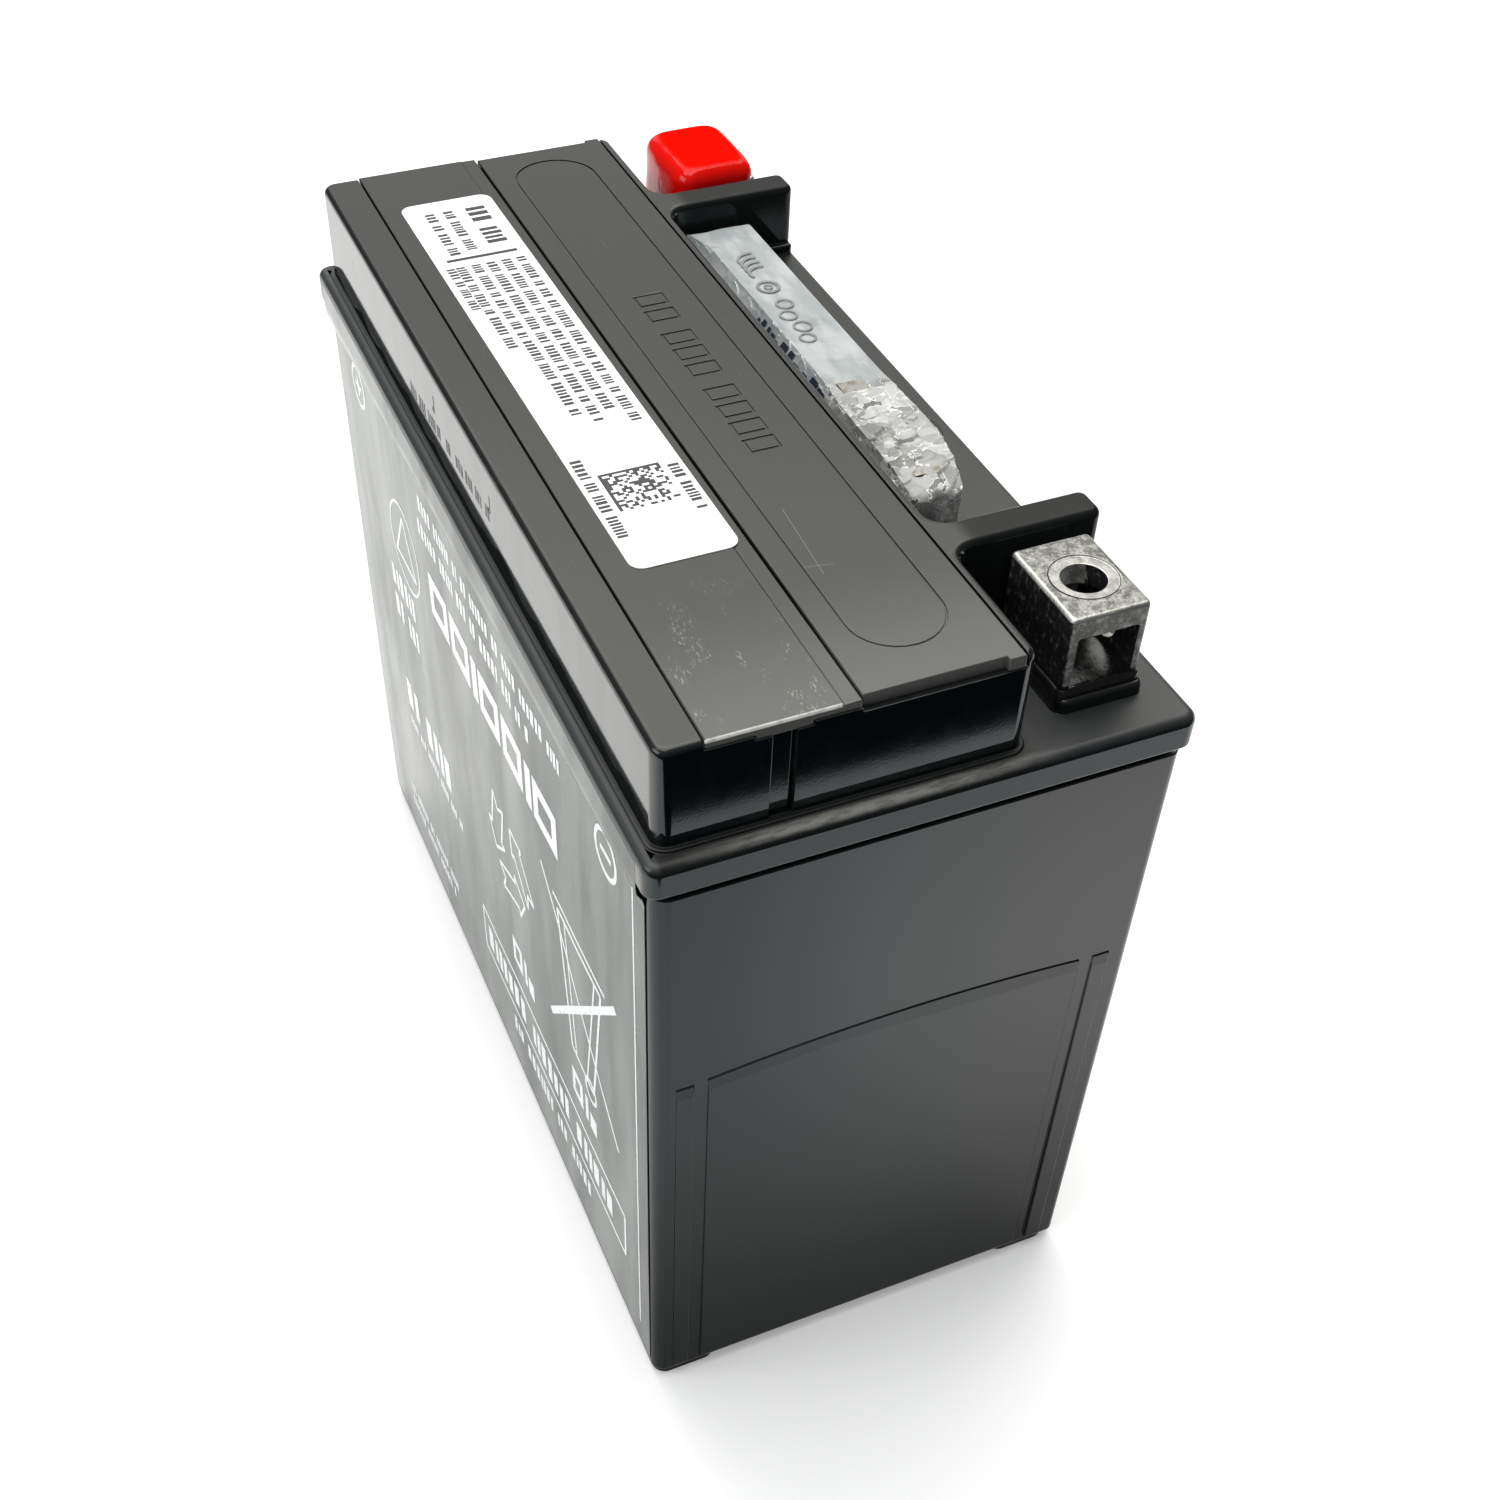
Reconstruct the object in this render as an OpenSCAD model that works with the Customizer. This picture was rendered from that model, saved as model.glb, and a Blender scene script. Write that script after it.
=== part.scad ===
// Sealed 12 V motorcycle battery, six cells in one case.
// Origin: centre of the underside. +X: the negative end. -Y: the printed side. +Z: up.

/* [Overall] */
// Length across the lid flange
body_length = 175; // [174:0.5:176]
// Width across the lid flange
body_width = 87; // [86.5:0.5:88]
// Height from the feet to the top of the deck
deck_top = 155; // [154:0.5:157]
// Height of the flange's upper face
flange_top = 137.3; // [137:0.1:138]
// Height of the lower edge of the flange skirt
skirt_low = 131.3; // [130.5:0.1:132]

/* [Case] */
// How far each case wall stands in from the flange
case_inset = 1.5; // [1.4:0.1:1.8]
// Thickness of the outer case walls
case_wall = 2.8; // [2.4:0.1:3]
// Thickness of the walls between the cells
partition_wall = 2; // [1.8:0.1:2.2]
// Radius of the case's upright corners
case_corner = 4; // [3:0.5:5]
// Height of the four corner feet
foot_height = 1.2; // [0.8:0.1:1.4]
// Height of the raised pads on the two end walls
pad_top = 86; // [80:1:92]
// How far the end pads stand out
pad_proud = 0.7; // [0.4:0.1:0.8]

/* [Lid] */
// Length of the raised deck
deck_length = 168.5; // [168:0.5:169]
// Front face of the deck, measured from the middle
deck_front = -41; // [-41.2:0.1:-40.8]
// Rear face of the deck
deck_back = 15.5; // [15.3:0.1:15.8]
// Rear end of the barrier walls and of the recess floor
barrier_back = 41; // [40.6:0.1:41.4]
// Thickness of each barrier wall
barrier_wall = 6.2; // [5.8:0.1:6.4]
// Height of the recess floor between the barriers
recess_floor = 142.4; // [142:0.1:142.8]
// Thickness of the two covers let into the deck
cover_plate = 2.1; // [2:0.1:2.2]
// Joint line between the cap strip and the valve cover
seam_y = -11.2; // [-11.4:0.1:-11]

/* [Terminals] */
// Terminal block length along the battery
terminal_length = 17.8; // [17.4:0.1:18]
// Terminal block width across the battery
terminal_width = 12.5; // [12.3:0.1:12.6]
// Height of the terminal block's upper face
terminal_top = 153.7; // [153.5:0.1:153.9]
// Radius of the upright bolt hole
bolt_hole_r = 3.4; // [3.2:0.1:3.6]
// Radius of the sideways bolt hole
side_hole_r = 3.3; // [3.2:0.1:3.5]
// Height of the red cap's top
cap_top = 157; // [156.6:0.1:157.4]

/* [Hidden] */
$fn = 64;

cut = 0.5;                       // how far a cutter runs past the face it cuts
cells = 6;

// Case
case_length = body_length - 2 * case_inset;
case_width = body_width - 2 * case_inset;
rim_inset = 1;                   // the welded rim stands in from the case wall
rim_top = 135;
flange_corner = 5.2;
case_floor = foot_height + case_wall;
cell_width = case_width - 2 * case_wall;
cell_length = (case_length - 2 * case_wall - (cells - 1) * partition_wall) / cells;
cell_pitch = cell_length + partition_wall;
foot_size = 13;
rest_rib = 1.5;                  // the ribs that hold the plates off the floor
rest_rib_width = 3;
rest_rib_y = 20;
pad_low = 3;
main_pad_half = 32.9;
side_pad_in = 35.3;
side_pad_out = 38.6;
arch_rise = 1.8;
arch_radius = (main_pad_half * main_pad_half + arch_rise * arch_rise) / (2 * arch_rise);

// Lid
deck_depth = deck_back - deck_front;
deck_corner = 4;
recess_half = 52.3;
cover_low = deck_top - cover_plate;
pocket_front = -34.2;
pocket_back = 13.8;
deck_plate = 2.5;
deck_hollow_top = cover_low - deck_plate;
deck_wall = 2.5;
fit_gap = 0.25;                  // gap round the two covers
well_y = (pocket_front + seam_y) / 2;
well_r = 7;
well_wall = 2;
plug_r = 6.7;
plug_low = 140;
seal_z = 146;
seal_r = 0.68;
seal_ring = 6.3;
seal_groove = 5.6;
chamber_half = 77;
chamber_front = -7.5;
chamber_back = 9.5;
chamber_floor = 143;
chamber_wall = 2;
valve_y = 1;
nozzle_r = 4;
nozzle_bore = 1.5;
nozzle_top = 147.2;
valve_r = 5.5;
valve_low = 144.5;
valve_top = 149;
valve_gap = 0.3;
valve_seat_gap = 0.1;
valve_lift = 0.8;
arrestor = [3.3, 7.8, 7];
arrestor_z = 145.2;
duct_z = 151.2;
duct_x = 80.5;
duct_width = 2;
groove_front = -24.3;
groove_back = -20.8;
groove_depth = 0.8;
stadium_half = 78;
stadium_r = 7.7;
stadium_y = 0.6;
stadium_depth = 0.3;
hollow_back_front = 18;
hollow_back_rear = 38.5;
hollow_back_top = 140;
bead_out = 1.2;                  // a low bead follows the foot of the deck
bead_rise = 0.5;

// Terminals
terminal_x = (cells - 1) / 2 * cell_pitch;
terminal_y = 30.75;
nut_slot_front = 1;
nut_slot_width = 10;
nut_slot_low = 141;
nut_slot_top = 149.8;
nut_slot_back = 2;
spot_r = 5.2;
spot_depth = 0.25;
side_hole_z = 145.4;
collar_margin = 1.2;
collar_top = 139.6;
post_r = 4.5;
boss_r = 8;
boss_low = 129;
post_seal_r = 6.8;
post_seal_top = 133;
cap_gap = 0.3;
cap_wall = 1.5;
cap_low = 140.2;
cap_inner_top = 154.4;

// Plates
plates_positive = 5;
plate_positive = 1.8;
plate_negative = 1.4;
mat = 0.8;
plate_pitch = plate_positive + plate_negative + 2 * mat;
stack = plates_positive * plate_pitch + plate_negative;
plate_width = 72;
mat_width = 76;
plate_low = case_floor + rest_rib;
plate_top = 106;
mat_top = 109;
lug_width = 10;
strap_low = 113;
strap_top = 119;
strap_width = 12;
tombstone = 3;
tombstone_top = 131;
weld_z = 125;
weld_r = 4.5;

// Hardware packet
bag_x = [-50.6, 40.4];
bag_y = [16.6, 31.2];
bag_low = recess_floor + 0.3;
bag_flat = 8.2;
bag_full = 9.6;
bag_film = 0.4;
bolt_r = 3;
bolt_length = 16;
bolt_head = 4;
bolt_head_af = 8;
nut_af = 9.7;
nut_height = 5;

// Labels
film = 0.3;
front_film_x = 83.2;
front_film_low = 4;
front_film_top = 135.6;
film_blend = 6;
top_label_size = [113, 16.4];
top_label_at = [-11.1, -21.5];
top_label_turn = 1;
top_label_corner = 1.8;
top_label_film = 0.15;

function cell_x(i) = (i - (cells - 1) / 2) * cell_pitch;
// Odd and even cells are turned round, so neighbours meet with opposite poles
function positive_side(i) = i % 2 == 0 ? 1 : -1;

module rounded_area(size, r) {
    square([size[0] - 2 * r, size[1]], center = true);
    square([size[0], size[1] - 2 * r], center = true);
    for (x = [-1, 1], y = [-1, 1])
        translate([x * (size[0] / 2 - r), y * (size[1] / 2 - r)]) circle(r);
}

module rounded_block(size, r, z0, z1) {
    translate([0, 0, z0]) linear_extrude(z1 - z0) rounded_area(size, r);
}

module block(x, y, z) {
    translate([x[0], y[0], z[0]]) cube([x[1] - x[0], y[1] - y[0], z[1] - z[0]]);
}

module both_ends() {
    children();
    mirror([1, 0, 0]) children();
}

// ---- case ----

module end_pads() {
    face = case_length / 2;
    main_top = pad_top - arch_rise;
    translate([face - cut, 0, 0]) rotate([90, 0, 90]) linear_extrude(cut + pad_proud) {
        intersection() {
            translate([-main_pad_half, pad_low])
                square([2 * main_pad_half, main_top + 2 * arch_rise - pad_low]);
            union() {
                translate([0, pad_top - arch_radius]) circle(arch_radius, $fn = 256);
                translate([-main_pad_half, pad_low])
                    square([2 * main_pad_half, main_top - pad_low]);
            }
        }
        for (side = [-1, 1])
            translate([side * (side_pad_in + side_pad_out) / 2, (pad_low + main_top) / 2])
                square([side_pad_out - side_pad_in, main_top - pad_low], center = true);
    }
}

module corner_feet() {
    intersection() {
        rounded_block([case_length - 1, case_width - 1], case_corner, 0, foot_height + cut);
        for (x = [-1, 1], y = [-1, 1])
            translate([x * case_length / 2, y * case_width / 2, 0])
                cube([2 * foot_size, 2 * foot_size, 4 * foot_height], center = true);
    }
}

module case() {
    color("#23282a") {
        difference() {
            union() {
                rounded_block([case_length, case_width], case_corner, foot_height, skirt_low - 0.3);
                rounded_block([case_length - 2 * rim_inset, case_width - 2 * rim_inset],
                    case_corner - rim_inset, skirt_low - 1, rim_top);
                corner_feet();
                both_ends() end_pads();
            }
            for (i = [0 : cells - 1])
                translate([cell_x(i) - cell_length / 2, -cell_width / 2, case_floor])
                    cube([cell_length, cell_width, rim_top]);
            for (i = [0 : cells - 2]) intercell_hole(i);
        }
        for (i = [0 : cells - 1], side = [-1, 1])
            translate([cell_x(i), side * rest_rib_y, case_floor + rest_rib / 2])
                cube([cell_length, rest_rib_width, rest_rib], center = true);
    }
}

module intercell_hole(i) {
    translate([cell_x(i) + cell_length / 2 - cut, -positive_side(i) * terminal_y, weld_z])
        rotate([0, 90, 0]) cylinder(h = partition_wall + 2 * cut, r = weld_r);
}

// ---- lid ----

module barrier() {
    block([recess_half, recess_half + barrier_wall], [deck_back - cut, barrier_back],
        [flange_top - cut, deck_top]);
}

module collar() {
    size = [terminal_length + 2 * collar_margin, terminal_width + 2 * collar_margin];
    translate([terminal_x, terminal_y]) {
        rounded_block(size, collar_margin, flange_top - cut, collar_top);
        translate([0, 0, boss_low]) cylinder(h = flange_top - boss_low - cut, r = boss_r);
    }
}

module deck_area(grow) {
    translate([0, (deck_front + deck_back) / 2])
        rounded_area([deck_length + 2 * grow, deck_depth + 2 * grow], deck_corner + grow);
}

module lid_outer() {
    rounded_block([body_length, body_width], flange_corner, skirt_low, flange_top);
    translate([0, 0, flange_top - cut]) linear_extrude(deck_top - flange_top + cut) deck_area(0);
    translate([0, 0, flange_top - cut]) linear_extrude(bead_rise + cut) deck_area(bead_out);
    block([-recess_half - cut, recess_half + cut], [deck_back - cut, barrier_back],
        [flange_top - cut, recess_floor]);
    both_ends() barrier();
}

module lid_hollows() {
    rim = [case_length - 2 * rim_inset + 0.4, case_width - 2 * rim_inset + 0.4];
    rounded_block(rim, case_corner - rim_inset + 0.2, skirt_low - cut, rim_top);
    for (i = [0 : cells - 1]) {
        reach = [cell_x(i) - cell_length / 2, cell_x(i) + cell_length / 2];
        inner = [max(reach[0], -deck_length / 2 + deck_wall), min(reach[1], deck_length / 2 - deck_wall)];
        block(inner, [deck_front + deck_wall, deck_back - deck_wall], [rim_top - cut, deck_hollow_top]);
        back = [max(reach[0], deck_wall - recess_half), min(reach[1], recess_half - deck_wall)];
        if (back[0] < back[1])
            block(back, [hollow_back_front, hollow_back_rear], [rim_top - cut, hollow_back_top]);
    }
}

module vent_path() {
    block([chamber_half - cut, duct_x], [valve_y - 4, valve_y + 4], [arrestor_z - 0.2, deck_top]);
    block([duct_x - cut, duct_x + duct_width], [groove_front + 1, valve_y + 3], [duct_z, deck_top]);
    block([duct_x, deck_length / 2 + cut], [groove_front + 1, groove_back - 1], [duct_z, deck_top]);
    block([deck_length / 2 - groove_depth, deck_length / 2 + cut], [groove_front, groove_back],
        [flange_top, cover_low + cut]);
}

module lid() {
    color("#34362f") {
        difference() {
            union() {
                difference() {
                    lid_outer();
                    lid_hollows();
                }
                for (i = [0 : cells - 1])
                    translate([cell_x(i), well_y, rim_top + 1])
                        cylinder(h = deck_hollow_top - rim_top, r = well_r + well_wall);
                block([-duct_x - chamber_wall, duct_x + chamber_wall],
                    [chamber_front - chamber_wall, chamber_back + chamber_wall],
                    [chamber_floor - chamber_wall, deck_hollow_top + cut]);
                both_ends() collar();
            }
            block([-body_length, body_length], [pocket_front, pocket_back], [cover_low, deck_top + cut]);
            block([-chamber_half, chamber_half], [chamber_front, chamber_back],
                [chamber_floor, deck_top]);
            for (i = [0 : cells - 1]) {
                translate([cell_x(i), well_y, rim_top]) cylinder(h = deck_top - rim_top, r = well_r);
                translate([cell_x(i), valve_y, rim_top])
                    cylinder(h = deck_top - rim_top, r = nozzle_bore);
            }
            both_ends() vent_path();
            both_ends() translate([terminal_x, terminal_y, boss_low - cut]) {
                cylinder(h = flange_top, r = post_r);
                cylinder(h = post_seal_top - boss_low + cut, r = post_seal_r);
            }
            both_ends() translate([terminal_x, terminal_y, (flange_top + deck_top) / 2])
                cube([terminal_length, terminal_width, deck_top - flange_top], center = true);
            block([-front_film_x, front_film_x], [-body_width, film - body_width / 2],
                [skirt_low - cut, front_film_top]);
        }
        for (i = [0 : cells - 1])
            translate([cell_x(i), valve_y, chamber_floor]) difference() {
                cylinder(h = nozzle_top - chamber_floor, r = nozzle_r);
                translate([0, 0, -cut]) cylinder(h = nozzle_top, r = nozzle_bore);
            }
    }
}

// ---- covers, seals and valves ----

module sealing_cap_strip() {
    half = deck_length / 2 - fit_gap;
    front = pocket_front + fit_gap;
    back = seam_y - fit_gap;
    color("#3a3c36") {
        block([-half, half], [front, back], [cover_low, deck_top - 0.15]);
        block([-half, half], [front, back - 2.6], [deck_top - 1, deck_top]);
        for (i = [0 : cells - 1]) translate([cell_x(i), well_y, 0]) difference() {
            translate([0, 0, plug_low]) cylinder(h = cover_low - plug_low + cut, r = plug_r);
            translate([0, 0, seal_z - seal_r - 0.1]) difference() {
                cylinder(h = 2 * seal_r + 0.2, r = plug_r + cut);
                translate([0, 0, -cut]) cylinder(h = 4 * seal_r, r = seal_groove);
            }
        }
    }
}

module cap_plug_seals() {
    color("#1b1b1b")
        for (i = [0 : cells - 1]) translate([cell_x(i), well_y, seal_z])
            rotate_extrude() translate([seal_ring, 0]) circle(seal_r, $fn = 24);
}

module valve_cover() {
    half = deck_length / 2 - fit_gap;
    step = 0.8;
    color("#3a3c36") {
        difference() {
            union() {
                block([-half + step, half - step], [seam_y + fit_gap, pocket_back - fit_gap],
                    [cover_low, deck_top]);
                block([-half, half], [pocket_back - 3, pocket_back - fit_gap], [cover_low, deck_top]);
            }
            translate([0, stadium_y, deck_top - stadium_depth]) linear_extrude(1) {
                square([2 * (stadium_half - stadium_r), 2 * stadium_r], center = true);
                for (x = [-1, 1]) translate([x * (stadium_half - stadium_r), 0]) circle(stadium_r);
            }
        }
        for (i = [0 : cells - 1])
            translate([cell_x(i), valve_y, valve_top + valve_lift + valve_gap])
                cylinder(h = cover_low - valve_top - valve_lift, r = 3);
    }
}

module flame_arrestors() {
    color("#e8e4d8") both_ends()
        translate([chamber_half + 0.1, valve_y - arrestor[1] / 2, arrestor_z]) cube(arrestor);
}

module relief_valve(i) {
    color("#202020") translate([cell_x(i), valve_y, 0]) difference() {
        translate([0, 0, valve_low]) cylinder(h = valve_top - valve_low, r = valve_r);
        translate([0, 0, valve_low - cut])
            cylinder(h = nozzle_top + valve_seat_gap - valve_low + cut, r = nozzle_r + valve_gap);
    }
}

// ---- terminals ----

module terminal() {
    x0 = terminal_x - terminal_length / 2;
    x1 = terminal_x + terminal_length / 2;
    y0 = terminal_y - terminal_width / 2;
    y1 = terminal_y + terminal_width / 2;
    difference() {
        union() {
            block([x0, x1], [y0, y1], [flange_top, terminal_top]);
            translate([terminal_x, terminal_y, strap_top])
                cylinder(h = flange_top - strap_top + cut, r = post_r);
        }
        block([x0 + nut_slot_back, x1 + cut],
            [y0 + nut_slot_front, y0 + nut_slot_front + nut_slot_width],
            [nut_slot_low, nut_slot_top]);
        translate([terminal_x, terminal_y, nut_slot_low + cut])
            cylinder(h = terminal_top, r = bolt_hole_r);
        translate([terminal_x, terminal_y, terminal_top - spot_depth]) cylinder(h = 1, r = spot_r);
        translate([terminal_x, terminal_y, side_hole_z]) rotate([-90, 0, 0])
            cylinder(h = terminal_width, r = side_hole_r);
    }
}

module negative_terminal() {
    color("#9a9890") terminal();
}

module positive_terminal() {
    color("#9a9890") mirror([1, 0, 0]) terminal();
}

module post_seal() {
    color("#2b2117") translate([terminal_x, terminal_y, boss_low]) difference() {
        cylinder(h = post_seal_top - boss_low, r = post_seal_r);
        translate([0, 0, -cut]) cylinder(h = post_seal_top, r = post_r);
    }
}

module negative_post_seal() {
    post_seal();
}

module positive_post_seal() {
    mirror([1, 0, 0]) post_seal();
}

module positive_terminal_cap() {
    inner = [terminal_length + 2 * cap_gap, terminal_width + 2 * cap_gap];
    outer = [inner[0] + 2 * cap_wall, inner[1] + 2 * cap_wall];
    color("#d90b0b") translate([-terminal_x, terminal_y]) difference() {
        rounded_block(outer, 3.5, cap_low, cap_top);
        rounded_block(inner, 0.4, cap_low - cut, cap_inner_top);
    }
}

// ---- hardware packet ----

module bag_profile(inset) {
    low = bag_low + inset;
    flat = bag_low + bag_flat - inset;
    full = bag_low + bag_full - inset;
    x0 = bag_x[0] + inset;
    x1 = bag_x[1] - inset;
    polygon([[x0, low], [x1, low], [x1, flat], [x1 - 4, full], [x1 - 44, full], [x1 - 52, flat],
        [x0, flat]]);
}

module bag_solid(inset) {
    translate([0, bag_y[1] - inset, 0]) rotate([90, 0, 0])
        linear_extrude(bag_y[1] - bag_y[0] - 2 * inset) bag_profile(inset);
}

module hardware_bag() {
    color("#c8ccce") difference() {
        bag_solid(0);
        bag_solid(bag_film);
    }
}

module bolt(x, y, turn) {
    head_corner_r = bolt_head_af / sqrt(3);
    translate([x, y, bag_low + bag_film + bolt_head_af / 2 + 0.1]) rotate([0, turn, 0]) {
        translate([0, 0, -bolt_head]) rotate(30) cylinder(h = bolt_head, r = head_corner_r, $fn = 6);
        translate([0, 0, -bolt_head / 2]) cylinder(h = bolt_length + bolt_head / 2, r = bolt_r);
    }
}

module terminal_bolts() {
    color("#b9b7ae") {
        bolt(20, 23.9, 90);
        bolt(-1, 23.9, 90);
    }
}

module nut(x, y) {
    translate([x, y, bag_low + bag_film + 0.1 + nut_height / 2]) difference() {
        cube([nut_af, nut_af, nut_height], center = true);
        cylinder(h = 2 * nut_height, r = bolt_r, center = true);
    }
}

module terminal_nuts() {
    color("#c9a24a") {
        nut(-12, 23);
        nut(-25, 24.6);
    }
}

// ---- labels ----

module front_label() {
    wall = -case_width / 2;
    skirt = film - body_width / 2;
    bend = skirt_low - 1.5;
    color("#16191b") translate([-front_film_x, 0, 0]) rotate([90, 0, 90])
        linear_extrude(2 * front_film_x)
            polygon([[wall, front_film_low], [wall, bend - film_blend], [skirt, bend],
                [skirt, front_film_top], [skirt - film, front_film_top], [skirt - film, bend],
                [wall - film, bend - film_blend], [wall - film, front_film_low]]);
}

module top_label() {
    color("#f2f2ee") translate([top_label_at[0], top_label_at[1], deck_top])
        rotate(top_label_turn) linear_extrude(top_label_film)
            rounded_area(top_label_size, top_label_corner);
}

// ---- plates and straps ----

module strap(i, side, post_end) {
    x0 = cell_x(i) - cell_length / 2;
    x1 = cell_x(i) + cell_length / 2;
    y = [side * terminal_y - strap_width / 2, side * terminal_y + strap_width / 2];
    block([cell_x(i) - stack / 2, cell_x(i) + stack / 2], y, [strap_low, strap_top]);
    if (post_end > 0) block([x1 - tombstone, x1], y, [strap_low, tombstone_top]);
    if (post_end < 0) block([x0, x0 + tombstone], y, [strap_low, tombstone_top]);
}

module plate(x, thickness, side) {
    block([x - thickness / 2, x + thickness / 2], [-plate_width / 2, plate_width / 2],
        [plate_low + mat, plate_top]);
    block([x - thickness / 2, x + thickness / 2],
        [side * terminal_y - lug_width / 2, side * terminal_y + lug_width / 2],
        [plate_top - cut, strap_low + cut]);
}

module positive_plates(i) {
    side = positive_side(i);
    color("#5a4636") {
        for (n = [0 : plates_positive - 1])
            plate(cell_x(i) + (n - (plates_positive - 1) / 2) * plate_pitch, plate_positive, side);
        strap(i, side, i == 0 ? 0 : -1);
    }
}

module negative_plates(i) {
    side = -positive_side(i);
    color("#8d9094") {
        for (n = [0 : plates_positive])
            plate(cell_x(i) + (n - plates_positive / 2) * plate_pitch, plate_negative, side);
        strap(i, side, i == cells - 1 ? 0 : 1);
    }
}

module separators(i) {
    color("#f4f2ea")
        for (n = [0 : plates_positive - 1])
            translate([cell_x(i) + (n - (plates_positive - 1) / 2) * plate_pitch, 0, 0])
                difference() {
                    half = plate_positive / 2 + mat;
                    block([-half, half], [-mat_width / 2, mat_width / 2], [plate_low, mat_top]);
                    block([mat - half, half - mat], [-mat_width, mat_width],
                        [plate_low + mat, mat_top + cut]);
                }
}

module intercell_weld(i) {
    color("#8a8c8e")
        translate([cell_x(i) + cell_length / 2, -positive_side(i) * terminal_y, weld_z])
            rotate([0, 90, 0]) cylinder(h = partition_wall, r = weld_r);
}

case();
lid();
sealing_cap_strip();
cap_plug_seals();
valve_cover();
flame_arrestors();
relief_valve(0);  // relief_valve_1
relief_valve(1);  // relief_valve_2
relief_valve(2);  // relief_valve_3
relief_valve(3);  // relief_valve_4
relief_valve(4);  // relief_valve_5
relief_valve(5);  // relief_valve_6
positive_terminal();
negative_terminal();
positive_post_seal();
negative_post_seal();
positive_terminal_cap();
hardware_bag();
terminal_bolts();
terminal_nuts();
front_label();
top_label();
positive_plates(0);  // positive_plates_1
positive_plates(1);  // positive_plates_2
positive_plates(2);  // positive_plates_3
positive_plates(3);  // positive_plates_4
positive_plates(4);  // positive_plates_5
positive_plates(5);  // positive_plates_6
negative_plates(0);  // negative_plates_1
negative_plates(1);  // negative_plates_2
negative_plates(2);  // negative_plates_3
negative_plates(3);  // negative_plates_4
negative_plates(4);  // negative_plates_5
negative_plates(5);  // negative_plates_6
separators(0);  // separators_1
separators(1);  // separators_2
separators(2);  // separators_3
separators(3);  // separators_4
separators(4);  // separators_5
separators(5);  // separators_6
intercell_weld(0);  // intercell_weld_1
intercell_weld(1);  // intercell_weld_2
intercell_weld(2);  // intercell_weld_3
intercell_weld(3);  // intercell_weld_4
intercell_weld(4);  // intercell_weld_5
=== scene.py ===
"""A sealed motorcycle battery: case, lid, covers, lead terminals, red cap, hardware packet and labels.

Lengths are in millimetres until a piece is finished, and then in metres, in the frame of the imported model.
"""
import math
import random

import bmesh
import bpy
from mathutils import Matrix, Vector, noise


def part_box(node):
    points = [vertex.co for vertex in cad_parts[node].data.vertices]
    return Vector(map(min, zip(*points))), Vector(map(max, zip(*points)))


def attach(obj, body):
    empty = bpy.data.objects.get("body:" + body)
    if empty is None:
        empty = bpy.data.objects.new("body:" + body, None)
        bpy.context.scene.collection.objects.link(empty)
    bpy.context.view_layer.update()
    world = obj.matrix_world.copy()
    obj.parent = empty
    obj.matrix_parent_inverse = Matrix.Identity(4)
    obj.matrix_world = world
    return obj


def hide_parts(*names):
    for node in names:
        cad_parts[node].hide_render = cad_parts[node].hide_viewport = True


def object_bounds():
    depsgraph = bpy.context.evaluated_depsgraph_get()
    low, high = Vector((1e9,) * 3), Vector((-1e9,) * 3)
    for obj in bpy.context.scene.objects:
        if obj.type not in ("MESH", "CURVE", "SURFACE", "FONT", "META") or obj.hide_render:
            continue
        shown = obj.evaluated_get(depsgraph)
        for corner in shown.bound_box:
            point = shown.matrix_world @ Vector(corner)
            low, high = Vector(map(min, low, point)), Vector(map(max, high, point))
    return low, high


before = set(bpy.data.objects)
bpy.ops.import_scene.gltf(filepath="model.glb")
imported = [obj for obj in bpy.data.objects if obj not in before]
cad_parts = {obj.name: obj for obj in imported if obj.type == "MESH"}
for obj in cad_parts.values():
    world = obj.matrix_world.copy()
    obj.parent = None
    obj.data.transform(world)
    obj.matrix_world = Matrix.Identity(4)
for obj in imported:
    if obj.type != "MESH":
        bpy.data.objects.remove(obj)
cad_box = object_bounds()

MM = 0.001


# ---- sizes, from the frame where a node's box gives them ----

def box_mm(node):
    """Lowest and highest corner of a CAD node, in millimetres."""
    low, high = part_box(node)
    return low / MM, high / MM


lid_low, lid_high = box_mm("lid")
case_low, case_high = box_mm("case")
strip_low, strip_high = box_mm("sealing_cap_strip")
cover_low, cover_high = box_mm("valve_cover")
post_low, post_high = box_mm("negative_terminal")
cap_low, cap_high = box_mm("positive_terminal_cap")
bag_low, bag_high = box_mm("hardware_bag")
bolts_low, bolts_high = box_mm("terminal_bolts")
nuts_low, nuts_high = box_mm("terminal_nuts")
film_low, film_high = box_mm("front_label")
paper_low, paper_high = box_mm("top_label")

HALF_LENGTH = lid_high.x
HALF_WIDTH = lid_high.y
SKIRT_LOW = 131.3
DECK_TOP = lid_high.z
FLANGE_TOP = 137.3
FLANGE_CORNER = 2.4
FLANGE_FILLET = 1.6
DECK_HALF = 84.25
DECK_FRONT = -41.0
DECK_BACK = 15.5
DECK_CORNER = 2.4
DECK_FILLET = 1.3
BEAD = 0.8
COVE = 3.4                      # plan radius where a barrier meets the deck
BARRIER_IN = 52.3
BARRIER_OUT = 58.5
BARRIER_BACK = 41.0
RECESS_FLOOR = 142.4
FIT_GAP = 0.25
POCKET_FRONT = strip_low.y - FIT_GAP
POCKET_BACK = cover_high.y + FIT_GAP
COVER_PLATE = 2.1
POCKET_FLOOR = DECK_TOP - COVER_PLATE
POCKET = (POCKET_FRONT, POCKET_BACK)
ABOVE_FLOOR = (POCKET_FLOOR, DECK_TOP + 1)
SEAM_Y = (strip_high.y + cover_low.y) / 2
CELLS = 6
CASE_WALL = 2.8
PARTITION = 2.0
CASE_HALF = 86.0
CASE_SIDE = 42.0
CASE_BACK = 42.9
CASE_CORNER = 3.0
CASE_BASE = 1.2
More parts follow.
